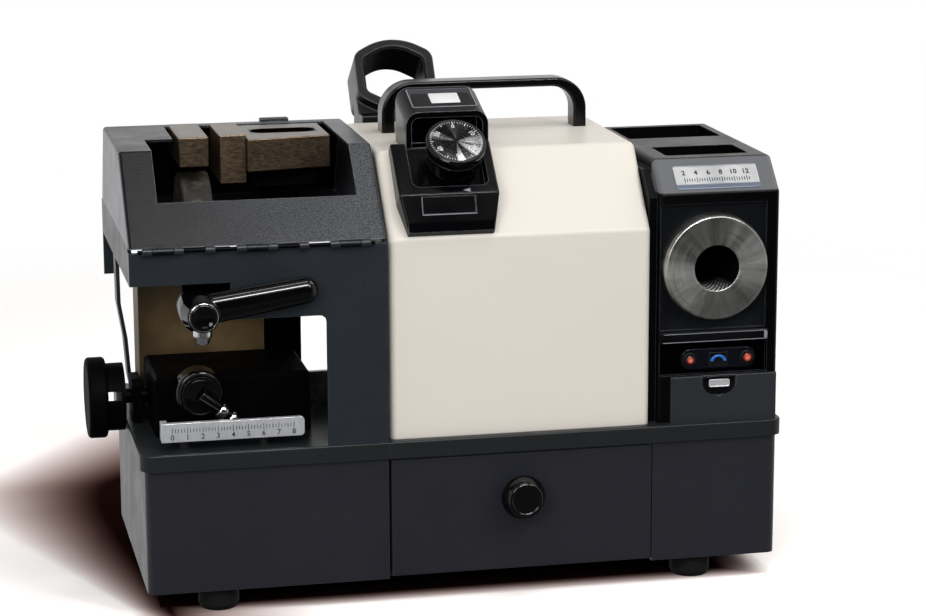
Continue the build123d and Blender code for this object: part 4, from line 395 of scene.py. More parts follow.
# Ring: bore paints shade inside the hole, and the patch on the left facet is a painted reflection, paler.
RING_COAT = coated("ring coat", srgb(11, 13, 10), grain=1300, rough=(0.3, 0.4), shine=0.13, relief=0.1,
                   edge=srgb(128, 131, 129), soft=2.0, bore=((-9.5, 101.5, 327), 55, 25.6),
                   patches=[((RING_LEFT - 5, 0, 200), (RING_LEFT + 0.5, 200, 400), srgb(112, 115, 114))])
BLACK_MOULDING = coated("black moulding", srgb(11, 11, 13), grain=1300, rough=(0.26, 0.38), shine=0.14,
                        relief=0.1, edge=GREY_EDGE)
DIAL_MOULDING = coated("dial moulding", srgb(5, 5, 7), grain=1000, rough=(0.1, 0.16), shine=0.13,
                       relief=0.05, edge=srgb(150, 153, 160), soft=1.0)
GLOSS_BLACK = coated("gloss black", srgb(4, 4, 5), grain=700, rough=(0.05, 0.09), shine=0.35,
                     relief=0.02, edge=srgb(54, 56, 62))
PANEL_BLACK = coated("panel black", srgb(7, 10, 17), grain=700, rough=(0.1, 0.18), shine=0.22,
                     relief=0.03, edge=srgb(84, 90, 104))
# Near black with almost no sheen: partly the parts' own black, partly painted shade where they sit in the
# window.
DEEP_BLACK = coated("oiled black in painted shade", srgb(3, 3, 4), rough=(0.5, 0.65), shine=0.02, relief=0.1,
                    edge=srgb(20, 21, 23))
RUBBER = coated("foot rubber", srgb(14, 14, 14), grain=1200, rough=(0.7, 0.85), shine=0.15, relief=0.3)
BOARD_COAT = coated("board coat", srgb(24, 70, 40), grain=800, rough=(0.3, 0.45), shine=0.4)
INK = coated("dark ink", srgb(34, 34, 38), rough=(0.5, 0.6), shine=0.2)
WHITE_INK = coated("white ink", srgb(225, 225, 225), rough=(0.45, 0.6), shine=0.2,
                   edge=srgb(225, 225, 225), drift=0.03)
FRAME_COAT = coated("visor frame", srgb(64, 66, 71), rough=(0.16, 0.24), shine=0.2, relief=0.04,
                    edge=srgb(168, 170, 176), soft=0.5)
PALE_LINE = coated("pale line", srgb(128, 130, 137), rough=(0.3, 0.4), shine=0.3,
                   edge=srgb(165, 167, 173), drift=0.1)
TURNED_STEEL = metal("turned steel", srgb(112, 112, 114), rough=(0.25, 0.4), grain=(1, 0.08, 1), scale=160)
BUSH_STEEL = toothed("bush steel", PORT, teeth=30, twist=-1100.0)
PLATED_STEEL = metal("plated steel", srgb(206, 206, 209), rough=(0.06, 0.14), scale=90, drift=0.05,
                     relief=0.01)
HINGE_STEEL = metal("hinge steel", srgb(42, 43, 45), rough=(0.38, 0.52), drift=0.1)
BLACK_STEEL = metal("blackened steel", srgb(14, 14, 16), rough=(0.4, 0.55))
ZINC = metal("zinc plate", srgb(150, 151, 148), rough=(0.25, 0.4), scale=200, drift=0.12)
CAST_IRON = metal("machined iron", srgb(40, 40, 42), rough=(0.4, 0.6), scale=300, drift=0.2, relief=0.2)
# Bronze: top is a painted reflection on upper faces, and the darker bronze's dark box paints shade in the
# slot of the bar.
BRONZE = metal("browned bronze", srgb(126, 108, 88), rough=(0.33, 0.42), grain=(1, 0.3, 0.3), scale=280,
               drift=0.34, relief=0.06, edge=1.9, top=srgb(132, 128, 124))
DARK_BRONZE = metal("darker bronze", srgb(112, 96, 79), rough=(0.33, 0.42), grain=(1, 0.3, 0.3),
                    scale=280, drift=0.36, relief=0.06, edge=2.2, top=srgb(132, 128, 124),
                    dark=[((-126.5, 11.5, 280), (-80.5, 32.5, 302.4))])
# Brass: the sweeps paint shade towards the left and towards the top, under the band.
BRASS = metal("aged brass in painted shade", srgb(163, 136, 96), rough=(0.35, 0.5), scale=30, drift=0.45, edge=1.8,
              bare=0.6, sweeps=[("X", -205, -135, 0.22, 1.0), ("Z", 196, 168, 0.35, 1.0)],
              patches=[((-210, 10, 120), (-205.6, 30, 199), srgb(186, 180, 168))])
# Scale steel: top is a painted highlight on upper faces, and the dark box paints shade along its lower part.
SCALE_STEEL = metal("scale steel", srgb(232, 234, 238), rough=(0.3, 0.45), grain=(0.06, 1, 1), scale=200,
                    drift=0.1, relief=0.03, edge=1.2, bare=0.7, top=srgb(252, 252, 252),
                    dark=[((-210, -95, 109), (-100, -75, 115.7))])
ALUMINIUM = metal("brushed aluminium", srgb(196, 198, 203), rough=(0.25, 0.4), grain=(0.06, 1, 1),
                  scale=200, drift=0.1, relief=0.03)
GRINDING_STONE = abrasive("grinding stone", srgb(92, 85, 67))
LEFT_LENS = lens("left button lens", srgb(158, 46, 34), glow=0.06,
                 middle=(BUTTONS_X[0], BUTTONS_Z), radius=2.6)
RIGHT_LENS = lens("right button lens", srgb(170, 42, 24), glow=0.06,
                  middle=(BUTTONS_X[1], BUTTONS_Z), radius=2.9)
LIGHT_ARC = lens("light arc", srgb(30, 94, 176), glow=0.22)

CAD_FINISHES = (
    (BASE_COAT, "tap_base main_base drawer_front left_strut"),
    (SHEET_COAT, "tap_frame"),
    (DECK_COAT, "tap_deck main_deck"),
    (DEEP_BLACK, "tap_carriage tap_column lever_bracket feed_bearing"),
    (CREAM_COAT, "main_cover rear_cover"),
    (HOUSING_COAT, "drill_housing"),
    (LOWER_COAT, "lower_cover"),
    (HOOD_COAT, "hood"),
    (HANDLE_COAT, "carry_handle"),
    (FEED_COAT, "feed_knob"),
    (RING_COAT, "chuck_holder"),
    (BLACK_MOULDING, "power_inlet rocker_switch"),
    (DIAL_MOULDING, "dial_base dial_visor"),
    (PANEL_BLACK, "control_panel"),
    (GLOSS_BLACK, "drawer_knob dial_knob dial_plate clamp_lever lock_lever"),
    (RUBBER, "feet"),
    (ZINC, "cap_screws drawer_runners drawer_tray knob_screw wheel_nuts chip_guard"),
    (CAST_IRON, "motor_body motor_cradle"),
    (ALUMINIUM, "motor_end_bells"),
    (SCALE_STEEL, "scale_bar"),
    (PLATED_STEEL, "shaft_bearings"),
    (HINGE_STEEL, "hinge_barrels"),
    (BLACK_STEEL, "hinge_pin feed_screw"),
    (TURNED_STEEL, "port_flange dial_shaft rotor_shaft rotor_core wheel_flanges lever_stud"),
    (BUSH_STEEL, "port_bush"),
    (BOARD_COAT, "control_board"),
    (BRASS, "brass_plate"),
    (BRONZE, "jaw_block"),
    (DARK_BRONZE, "tap_anvil slotted_bar"),
    (GRINDING_STONE, "tap_wheel drill_wheel"),
    (LEFT_LENS, "button_left"),
    (RIGHT_LENS, "button_right"),
)


def finish_cad_nodes():
    """Every CAD node gets its finish."""
    for finish, names in CAD_FINISHES:
        for name in names.split():
            nodes[name].data.materials.clear()
            nodes[name].data.materials.append(finish)


# Ways of modelling

def edit():
    bpy.ops.object.mode_set(mode="EDIT")


def stop_edit():
    bpy.ops.object.mode_set(mode="OBJECT")


def pick_none():
    bpy.ops.object.select_all(action="DESELECT")


def pick_mesh():
    bpy.ops.mesh.select_all(action="SELECT")


def pick_only(piece):
    """Leaves edit mode and selects one piece alone."""
    if bpy.context.object and bpy.context.object.mode != "OBJECT":
        stop_edit()
    pick_none()
    piece.select_set(True)
    bpy.context.view_layer.objects.active = piece


def named(name):
    """Names the piece at hand and its mesh."""
    piece = bpy.context.object
    piece.name = name
    piece.data.name = name
    return piece


def box(name, x, y, z):
    """A box over z 0, its middle on the Z axis, sizes in mm."""
    pick_none()
    bpy.ops.mesh.primitive_cube_add(size=1, location=(0, 0, 0))
    piece = named(name)
    edit()
    pick_mesh()
    bpy.ops.transform.resize(value=(x * MM, y * MM, z * MM))
    bpy.ops.transform.translate(value=(0, 0, z * MM / 2))
    stop_edit()
    return piece


def turned(name, profile, steps=96):
    """A piece turned about Z from (radius, height) pairs in mm."""
    pick_none()
    bpy.ops.mesh.primitive_plane_add(size=MM, location=(0, 0, 0))
    piece = named(name)
    edit()
    bpy.ops.mesh.select_mode(type="VERT")
    pick_mesh()
    bpy.ops.mesh.merge(type="CENTER")
    bpy.ops.transform.translate(value=(profile[0][0] * MM, 0, profile[0][1] * MM))
    for (r0, h0), (r1, h1) in zip(profile, profile[1:]):
        step = ((r1 - r0) * MM, 0, (h1 - h0) * MM)
        bpy.ops.mesh.extrude_vertices_move(TRANSFORM_OT_translate={"value": step})
    pick_mesh()
    bpy.ops.mesh.spin(steps=steps, angle=math.tau, center=(0, 0, 0), axis=(0, 0, 1))
    pick_mesh()
    bpy.ops.mesh.remove_doubles(threshold=0.002 * MM)
    bpy.ops.mesh.normals_make_consistent(inside=False)
    stop_edit()
    return piece


def select_faces(piece, test):
    """In edit mode, selects the faces whose middle in mm and normal pass the test."""
    bpy.ops.mesh.select_mode(type="FACE")
    shape = bmesh.from_edit_mesh(piece.data)
    for face in shape.faces:
        face.select_set(test(face.calc_center_median() / MM, face.normal))
    bmesh.update_edit_mesh(piece.data)


def top_face(middle, normal):
    return normal.z > 0.9


def rounded(piece, width, segments=3, angle=30):
    """Rounds the edges that are sharper than an angle in degrees, width in mm."""
    pick_only(piece)
    edge = piece.modifiers.new("edge", "BEVEL")
    edge.width = width * MM
    edge.segments = segments
    edge.limit_method = "ANGLE"
    edge.angle_limit = math.radians(angle)
    bpy.ops.object.modifier_apply(modifier=edge.name)
    return piece


def smooth(piece, angle=35):
    """Shades a piece smooth, except over edges sharper than an angle in degrees."""
    pick_only(piece)
    bpy.ops.object.shade_smooth_by_angle(angle=math.radians(angle))
    return piece


def inset_top(piece, rim, depth):
    """Insets the top face and pushes the inner face down (or up, if depth is below 0)."""
    pick_only(piece)
    edit()
    select_faces(piece, top_face)
    bpy.ops.mesh.inset(thickness=rim * MM, depth=0)
    bpy.ops.transform.translate(value=(0, 0, -depth * MM))
    stop_edit()
    return piece


def round_corners(piece, width, segments=6):
    """Rounds the upright edges of a box."""
    pick_only(piece)
    edit()
    bpy.ops.mesh.select_mode(type="EDGE")
    shape = bmesh.from_edit_mesh(piece.data)
    for edge in shape.edges:
        rise = edge.verts[0].co - edge.verts[1].co
        edge.select_set(abs(rise.z) > 0.9 * rise.length)
    bmesh.update_edit_mesh(piece.data)
    bpy.ops.mesh.bevel(offset=width * MM, segments=segments, affect="EDGES")
    stop_edit()
    return piece


FONT_TO_DIGIT = 1.4


def text(name, words, height, depth=0.12, bold=0.0):
    """Raised digits lying on the XY plane, centred, sizes in mm."""
    pick_none()
    bpy.ops.object.text_add(location=(0, 0, 0))
    letters = bpy.context.object
    letters.data.body = words
    letters.data.size = height * MM * FONT_TO_DIGIT
    letters.data.extrude = depth * MM / 2
    letters.data.offset = bold * MM
    letters.data.align_x = "CENTER"
    letters.data.align_y = "CENTER"
    letters.data.resolution_u = 3
    bpy.ops.object.convert(target="MESH")
    return named(name)


RIGHT = (1, 0, 0)


def put(piece, origin, right, up):
    """Stands a piece in its place: its X along right, its Y along up. Origin in mm."""
    x = Vector(right).normalized()
    y = Vector(up).normalized()
    stand = Matrix((x, y, x.cross(y))).transposed().to_4x4()
    stand.translation = Vector(origin) * MM
    pick_only(piece)
    piece.matrix_world = stand
    bpy.ops.object.transform_apply(location=True, rotation=True, scale=True)
    return piece


def joined(name, pieces):
    """Makes several pieces one."""
    pick_only(pieces[0])
    for piece in pieces:
        piece.select_set(True)
    bpy.ops.object.join()
    return named(name)


def finished(piece, finish, body):
    """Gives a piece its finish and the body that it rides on."""
    piece.data.materials.clear()
    piece.data.materials.append(finish)
    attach(piece, body)
    return piece


def front_at(piece, x, y, z):
    """Stands a piece on a front face: its own Z looks out of the machine's front."""
    return put(piece, (x, y, z), RIGHT, (0, 0, 1))


# Drill side

def round_map(piece, reach):
    """A map round the Z axis of a turned piece: once round, then outwards up to reach in mm."""
    polar = piece.data.uv_layers.new(name="round")
    for face in piece.data.polygons:
        corners = []
        for loop in face.loop_indices:
            co = piece.data.vertices[piece.data.loops[loop].vertex_index].co
            outwards = (math.hypot(co.x, co.y) + co.z) / MM
            corners.append((loop, math.atan2(co.y, co.x) / math.tau, outwards))
        first = corners[0][1]
        for loop, turn, outwards in corners:
            turn += round(first - turn)
            polar.data[loop].uv = (turn, outwards / reach)


def spun_metal(name, middle, tilt, low, high, rim_tone, fan_scale, fan_range, rough, sheen):
    """Turned metal with fine rings and broad fans of light and dark, painted as reflections.

    Tilt turns its face up from lying flat. Low and high are the colours of the painted reflection fans,
    and sheen is how far the shine is drawn out along the rings."""
    f = Finish(name)
    normal, rim = f.soft(0.5)
    x, y, _ = f.split(f.moved(middle, tilt))
    angle = f.maths("ARCTAN2", y, x)
    radius = f.span(x, y)
    ring = f.add("ShaderNodeCombineXYZ")
    f.feed(ring.inputs[0], f.times(radius, 2600.0))
    f.feed(ring.inputs[1], f.times(angle, 0.6))
    lines = f.noise(1.0, 3, ring.outputs[0])
    ray = f.add("ShaderNodeCombineXYZ")
    f.feed(ray.inputs[0], f.maths("COSINE", angle, 0.0))
    f.feed(ray.inputs[1], f.maths("SINE", angle, 0.0))
    f.feed(ray.inputs[2], f.times(radius, 6.0))
    # Painted reflection: broad light and dark fans round the middle.
    fans = f.noise(fan_scale, 6, ray.outputs[0], 0.62)
    tone = f.mix(f.spread(fans, 0, 1, *fan_range), low, high)
    tone = f.mix(f.spread(lines, 0, 0.25), tone, rim_tone)
    # Edges in rim_tone: painted highlight.
    f.set(Base_Color=f.mix(rim, tone, rim_tone))
    f.set(Metallic=1.0)
    f.set(Roughness=f.spread(lines, *rough))
    f.set(Anisotropic=sheen)
    tangent = f.add("ShaderNodeTangent", direction_type="UV_MAP", uv_map="round")
    f.set(Tangent=tangent.outputs[0])
    f.set(Normal=f.relief(lines, 0.06, 0.05, normal))
    return f.material


def port_disc():
    """The steel disc of the drill port, turned, and the thin toothed sleeve in its bore."""
    profile = [(15.45, 0), (15.45, 9.5), (15.8, 9.9), (16.3, 10), (34.4, 10), (34.9, 9.7), (36.1, 7.4),
               (36.25, 6.8), (36.25, 0), (15.45, 0)]
    disc = smooth(turned("port_disc", profile, 160), 30)
    round_map(disc, 40)
    front_at(disc, *PORT)
    # Fans from low to high are painted reflections, and rim_tone is a painted highlight on the edges.
    steel = spun_metal("spun steel", PORT, tilt=90, low=srgb(126, 125, 123), high=srgb(180, 179, 175),
                       rim_tone=srgb(208, 208, 206), fan_scale=2.6, fan_range=(0.4, 0.62),
                       rough=(0.3, 0.44), sheen=0.6)
    finished(disc, steel, "machine")
    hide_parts("port_flange")
    profile = [(15.44, 0.6), (15.4, 0.7), (15.4, 9.3), (15.44, 9.4), (15.44, 0.6)]
    sleeve = smooth(turned("port_teeth", profile, 160), 30)
    front_at(sleeve, *PORT)
    finished(sleeve, BUSH_STEEL, "machine")


SLOPE_UP = Vector((0, 0.7235, 0.6903))
SLOPE_OUT = Vector((0, -0.6903, 0.7235))
LABEL_MIDDLE = Vector((173.0, -85.0, 275.66))
LABEL_TILT = 43.66
LABEL_FIRST_X = -22.5


def label_plate():
    """Silver plate on the slope of the drill housing, with a bare row of ticks and numbers."""
    plate = round_corners(box("label_plate", 58, 19.5, 0.5), 1.4)
    rounded(plate, 0.12, 2, 60)
    inset_top(plate, 0.7, 0.1)
    put(smooth(plate), LABEL_MIDDLE, RIGHT, SLOPE_UP)
    finished(plate, label_silver(), "machine")
    marks = []
    tick_row = LABEL_MIDDLE + SLOPE_UP * -2.2 + SLOPE_OUT * 0.42
    digit_row = LABEL_MIDDLE + SLOPE_UP * 3.6 + SLOPE_OUT * 0.45
    for i in range(27):
        tick = box("tick", 0.5, 4.0 if i % 5 == 0 else 2.6, 0.1)
        marks.append(put(tick, tick_row + Vector((LABEL_FIRST_X + i * 1.73, 0, 0)), RIGHT, SLOPE_UP))
    for i in range(6):
        digit = text("digit", str(i * 2 + 2), 3.7, bold=0.12)
        marks.append(put(digit, digit_row + Vector((LABEL_FIRST_X + i * 8.65, 0, 0)), RIGHT, SLOPE_UP))
    finished(joined("label_scale", marks), INK, "machine")


def label_silver():
    """Silver foil with a bluish strip along its lower edge."""
    f = Finish("label silver")
    height = f.axis(f.moved(LABEL_MIDDLE, LABEL_TILT), "Y")
    strip = f.spread(height, 1, 0, -6.2 * MM, -5.4 * MM)
    drift = f.noise(60, 4)
    silver = f.mix(f.spread(drift, 0, 1), srgb(166, 167, 169), srgb(190, 191, 191))
    f.set(Base_Color=f.mix(strip, silver, srgb(92, 100, 116)))
    f.set(Metallic=0.35)
    f.set(Roughness=f.spread(drift, 0.3, 0.45))
    f.set(Normal=f.relief(f.noise(900, 2), 0.05, 0.05))
    return f.material


PANEL_FACE = -93.5
LIP_FACE = -97.0


def control_trim():
    """Collars round the two lit buttons, the light arc of the rocker and the pale lines of the lip, painted
    as highlights.
    """
    collars = []
    for x in BUTTONS_X:
        collar = turned("collar", [(3.3, 0), (3.3, 0.9), (3.7, 1.2), (4.6, 0.9), (5.0, 0), (3.3, 0)], 48)
        collars.append(front_at(smooth(collar), x, PANEL_FACE, BUTTONS_Z))
    finished(joined("button_collars", collars), BLACK_MOULDING, "machine")
    pick_none()
    bpy.ops.mesh.primitive_torus_add(
        major_radius=4.0 * MM, minor_radius=1.0 * MM, major_segments=48, minor_segments=10)
    arc = named("rocker_light")
    edit()
    pick_mesh()
    bpy.ops.mesh.bisect(plane_co=(0, 0, 0), plane_no=(0, 1, 0), clear_inner=True, use_fill=True)
    pick_mesh()
    bpy.ops.transform.resize(value=(1.12, 0.9, 0.5))
    stop_edit()
    front_at(smooth(arc, 60), 173.5, PANEL_FACE - 0.9, BUTTONS_Z - 2)
    finished(arc, LIGHT_ARC, "rocker")
    # Pale lines painted as highlights along the lip's edges and at its right end.
    lines = []
    for z, width in ((171.7, 71.0), (166.0, 73.0)):
        line = rounded(box("line", width, 0.5, 0.5), 0.15, 2, 30)
        lines.append(front_at(smooth(line), 170.0, LIP_FACE, z))
    end = rounded(round_corners(box("line", 2.2, 5.2, 0.7), 0.7, 4), 0.2, 2, 40)
    lines.append(front_at(smooth(end), 205.6, LIP_FACE, 168.8))
    finished(joined("lip_highlight_lines", lines), PALE_LINE, "machine")


def shield_badge():
    """Bare shield that fills the notch in the lower cover, with a plain plate on it."""
    badge = box("shield_badge", 22.6, 7.2, 1.2)
    pick_only(badge)
    edit()
    for drop, narrow in ((3.2, 0.78), (2.0, 0.6)):
        select_faces(badge, lambda middle, normal: normal.y < -0.9)
        bpy.ops.mesh.extrude_region_move(TRANSFORM_OT_translate={"value": (0, -drop * MM, 0)})
        bpy.ops.transform.resize(value=(narrow, 1, 1))
    stop_edit()
    rounded(badge, 0.35, 2, 30)
    front_at(smooth(badge), 173.5, -95.7, 137.7)
    finished(badge, GLOSS_BLACK, "machine")
    plate = round_corners(box("badge_plate", 14.5, 5.2, 0.5), 1.2)
    rounded(plate, 0.12, 2, 60)
    inset_top(plate, 0.6, 0.12)
    front_at(smooth(plate), 173.5, -96.8, 136.6)
    finished(plate, SCALE_STEEL, "machine")


def pull_knob():
    """The drawer's knob with its rounded shoulder and flat face."""
    profile = [(0, 0), (6.5, 0), (6.5, 6.4), (7.4, 7.6), (10.4, 9.0), (13.2, 10.6), (14.7, 12.6),
               (15.0, 14.2), (14.8, 15.8), (14.0, 17.8), (12.9, 19.8), (11.8, 21.6), (11.0, 22.6),
               (10.3, 23.0), (9.6, 22.9), (9.1, 22.4), (0, 22.0)]
    low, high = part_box("drawer_knob")
    knob = smooth(turned("pull_knob", profile, 96), 40)
    front_at(knob, (low[0] + high[0]) / 2 / MM, high[1] / MM, (low[2] + high[2]) / 2 / MM)
    finished(knob, GLOSS_BLACK, "drawer")
    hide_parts("drawer_knob")


# Dial unit

DIAL_OUT = Vector((0, -0.60137, 0.79897))
DIAL_UP = Vector((0, 0.79897, 0.60137))
DIAL_FACE = Vector((-3.5, -66.43, 289.26)) + DIAL_OUT * 20


def dial_marks():
    """Spun face, rim, ticks and numbers of the grinding dial."""
    face = smooth(turned("dial_face", [(0, 0), (18.3, 0), (18.2, 0.2), (17.9, 0.3), (0, 0.3)], 128), 30)
    round_map(face, 20)
    put(face, DIAL_FACE, RIGHT, DIAL_UP)
    # Fans from low to high are painted reflections, and rim_tone is a painted highlight on the edges.
    steel = spun_metal("dial steel", DIAL_FACE, tilt=36.97, low=srgb(8, 8, 9), high=srgb(196, 196, 198),
                       rim_tone=srgb(110, 110, 112), fan_scale=1.7, fan_range=(0.48, 0.64),
                       rough=(0.2, 0.34), sheen=0.75)
    finished(face, steel, "dial")
    rim = turned("dial_rim", [(18.0, 0), (18.0, 0.45), (18.5, 0.65), (19.3, 0.4), (19.7, 0), (18.0, 0)], 96)
    put(smooth(rim), DIAL_FACE, RIGHT, DIAL_UP)
    finished(rim, HINGE_STEEL, "dial")
    marks = []
    lift = DIAL_OUT * 0.3
    for i in range(60):
        turn = math.tau * i / 60
        way = Vector((math.sin(turn), 0, 0)) + DIAL_UP * math.cos(turn)
        side = Vector((math.cos(turn), 0, 0)) - DIAL_UP * math.sin(turn)
        length = 2.4 if i % 5 == 0 else 1.3
        tick = box("tick", 0.35 if i % 5 else 0.6, length, 0.1)
        marks.append(put(tick, DIAL_FACE + lift + way * (17.6 - length / 2), side, way))
        if i % 10 == 0:
            number = text("number", str(i), 3.2, bold=0.08)
            marks.append(put(number, DIAL_FACE + lift + way * 13.2 + DIAL_OUT * 0.05, side, way))
    finished(joined("dial_scale", marks), WHITE_INK, "dial")
    cap = turned("dial_cap", [(0, 0.8), (1.3, 0.8), (1.7, 0.5), (1.8, 0), (0, 0)], 48)
    put(smooth(cap), DIAL_FACE + lift, RIGHT, DIAL_UP)
    finished(cap, BLACK_MOULDING, "dial")


RAMP_UP = Vector((0, 0.62975, 0.7768))
RAMP_OUT = Vector((0, -0.7768, 0.62975))
RAMP_FOOT = Vector((-10.5, -95.4, 244.0)) + RAMP_UP * 2.2


def dial_trim():
    """Pale pointer on the rim of the dial's pocket, and pale lines painted as highlights round the recess
    under it.
    """
    rim = RAMP_FOOT + RAMP_UP * 25.2 + RAMP_OUT * 14.5
    along = (RAMP_UP - RAMP_OUT * 0.138).normalized()
    pick_none()
    bpy.ops.mesh.primitive_cone_add(vertices=3, radius1=3.4 * MM, radius2=3.0 * MM, depth=0.8 * MM)
    pointer = named("dial_pointer")
    edit()
    pick_mesh()
    bpy.ops.transform.rotate(value=math.radians(-90), orient_axis="Z", center_override=(0, 0, 0))
    bpy.ops.transform.resize(value=(1.0, 0.6, 1))
    stop_edit()
    rounded(pointer, 0.2, 2, 30)
    put(smooth(pointer), rim + Vector((12.5, 0, 0)), RIGHT, along)
    finished(pointer, PALE_LINE, "machine")
    # Pale lines painted as highlights round the recess.
    foot = RAMP_FOOT + RAMP_UP * 5.5 + RAMP_OUT * 8.1
    rise = RAMP_UP * 0.934 + RAMP_OUT * 0.3575
    lines = []
    for x, up, width, height in ((-0.75, 5.1, 36.4, 0.5), (-18.9, 11.25, 0.4, 12.0)):
        line = rounded(box("line", width, height, 0.3), 0.1, 2, 60)
        spot = foot + Vector((x, 0, 0)) + rise * up - RAMP_OUT * 0.1
        lines.append(put(smooth(line), spot, RIGHT, rise))
    finished(joined("recess_highlight_lines", lines), PALE_LINE, "machine")


def visor_trim():
    """Frame, pale lines painted as highlights, and plain sticker on the visor's roof."""
    lean = Vector((0, 34.0, 11.5)).normalized()
    out = Vector(RIGHT).cross(lean)
    middle = Vector((-4.0, -33.2, 327.05))
    frame_plate = round_corners(box("visor_frame", 44, 27, 0.9), 1.2)
    inset_top(frame_plate, 0.8, 0.5)
    put(smooth(frame_plate), middle - out * 0.2, RIGHT, lean)
    finished(frame_plate, FRAME_COAT, "machine")
    # Pale lines painted as highlights along the frame's edges.
    lines = []
    for x, y, width, length in ((-21.6, 0, 0.8, 26.0), (21.6, 0, 0.8, 26.0), (0, -13.1, 43.0, 0.8)):
        line = rounded(box("line", width, length, 0.35), 0.12, 2, 60)
        lines.append(put(smooth(line), middle + out * 0.6 + Vector((x, 0, 0)) + lean * y, RIGHT, lean))
    finished(joined("visor_highlight_lines", lines), PALE_LINE, "machine")
    sticker = round_corners(box("visor_sticker", 20, 14.5, 0.3), 0.8)
    rounded(sticker, 0.08, 2, 60)
    put(smooth(sticker), middle + out * 0.25 + Vector((2.0, 0, 0)), RIGHT, lean)
    finished(sticker, WHITE_INK, "machine")


# Tap side

def way_at(degrees):
    """The direction to the right that rises by an angle."""
    return Vector((math.cos(math.radians(degrees)), 0, math.sin(math.radians(degrees))))


LEVER_HUB = Vector((-176.8, -119.8, 204.3))
LEVER_WAY = way_at(8.5)
LEVER_HUB_DEPTH = 35.8
ARM_LENGTH = 76.5
ARM_WIDTH = 20
ARM_END_WIDTH = 17.6
LOCK_HUB = Vector((-174.6, -71.3, 142.0))
LOCK_WAY = way_at(-40)


def lever_body():
    """The clamp lever: a rounded arm that tapers to its end, and the coned hub."""
    arm = box("lever_arm", ARM_LENGTH, ARM_WIDTH, 11.5)
    pick_only(arm)
    edit()
    select_faces(arm, lambda middle, normal: normal.x > 0.9)
    bpy.ops.transform.resize(value=(1, ARM_END_WIDTH / ARM_WIDTH, 1))
    stop_edit()
    round_corners(arm, 8.4, 10)
    edit()
    select_faces(arm, top_face)
    bpy.ops.mesh.region_to_loop()
    bpy.ops.mesh.bevel(offset=7.8 * MM, segments=10, affect="EDGES")
    stop_edit()
    rounded(arm, 2.0, 4, 50)
    up = LEVER_WAY.cross(Vector((0, 1, 0)))
    arm_middle = LEVER_HUB + Vector((0, 14.5, 0)) + LEVER_WAY * (ARM_LENGTH / 2) + up * 2.5
    put(smooth(arm, 50), arm_middle, LEVER_WAY, up)
    profile = [(0, 0), (13.5, 0), (13.5, 19.9), (13.2, 21.0), (10.6, 33.6), (10.3, 34.9), (9.6, 35.7),
               (8.8, LEVER_HUB_DEPTH), (0, LEVER_HUB_DEPTH)]
    hub = turned("lever_hub", profile, 96)
    front_at(smooth(hub, 40), *(LEVER_HUB + Vector((0, LEVER_HUB_DEPTH, 0))))
    lever = joined("lever_body", [arm, hub])
    finished(lever, GLOSS_BLACK, "lever")
    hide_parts("clamp_lever")


def lever_trim():
    """Dished cap and bright ring on the clamp lever's hub, and the plated nub under it."""
    profile = [(0, 0.3), (2.4, 0.35), (5.6, 0.9), (6.6, 1.5), (7.5, 1.7), (8.3, 1.2), (8.5, -0.3), (0, -0.3)]
    cap = turned("lever_cap", profile, 72)
    front_at(smooth(cap, 45), *LEVER_HUB)
    finished(cap, GLOSS_BLACK, "lever")
    profile = [(8.6, -0.3), (8.6, 0.3), (8.9, 0.45), (9.3, 0.3), (9.4, -0.3), (8.6, -0.3)]
    ring = turned("lever_ring", profile, 72)
    front_at(smooth(ring, 45), *LEVER_HUB)
    finished(ring, PLATED_STEEL, "lever")
    profile = [(0, 0), (2.2, 0), (3.6, 0.5), (4.4, 1.8), (5.0, 4.4), (5.9, 5.2), (6.1, 6.4),
               (6.1, 10.5), (0, 10.5)]
    nub = turned("lever_nub", profile, 48)
    put(smooth(nub, 40), LEVER_HUB + Vector((-0.2, 7.8, -19.3)), RIGHT, (0, 1, 0))
    finished(nub, PLATED_STEEL, "lever")


def lock_trim():
    """Dished face on the small lever's hub, and the plated collar and ball at the end of its arm."""
    profile = [(0, 0.2), (6.5, 0.3), (9.8, 0.9), (11.2, 1.6), (12.2, 1.6), (12.9, -0.3), (0, -0.3)]
    face = turned("lock_face", profile, 72)
    front_at(smooth(face, 45), *LOCK_HUB)
    finished(face, GLOSS_BLACK, "lock")
    profile = [(13.1, -0.3), (13.1, 0.5), (13.5, 0.8), (14.0, 0.4), (14.1, -0.3), (13.1, -0.3)]
    ring = turned("lock_ring", profile, 72)
    front_at(smooth(ring, 45), *LOCK_HUB)
    finished(ring, HINGE_STEEL, "lock")
    profile = [(0, 15.5), (5.3, 15.5), (5.7, 16.2), (5.7, 20.4), (5.2, 21.2), (3.9, 21.6), (3.8, 22.8),
               (4.6, 23.4), (5.6, 24.8), (5.9, 26.6), (5.4, 28.6), (3.9, 30.1), (0, 30.8)]
    tip = turned("lock_tip", profile, 48)
    up = Vector((0, -1, 0)).cross(LOCK_WAY)
    put(smooth(tip, 50), LOCK_HUB + Vector((0, -1.5, 0)), up.cross(LOCK_WAY), up)
    finished(tip, PLATED_STEEL, "lock")


SCALE_FACE = -91.95
SCALE_ZERO_X = -196


def scale_marks():
    """Ticks and numbers on the scale bar."""
    marks = []
    for i in range(41):
        tick = box("tick", 0.4, 3.8 if i % 5 == 0 else 2.4, 0.12)
        marks.append(front_at(tick, SCALE_ZERO_X + i * 2.0, SCALE_FACE, 123.6))
    for i in range(9):
        number = text("number", str(i), 3.6, bold=0.06)
        marks.append(front_at(number, SCALE_ZERO_X + i * 10.0, SCALE_FACE, 119.0))
    finished(joined("scale_marks", marks), INK, "machine")


# Studio, in metres

AMBIENT = 0.33
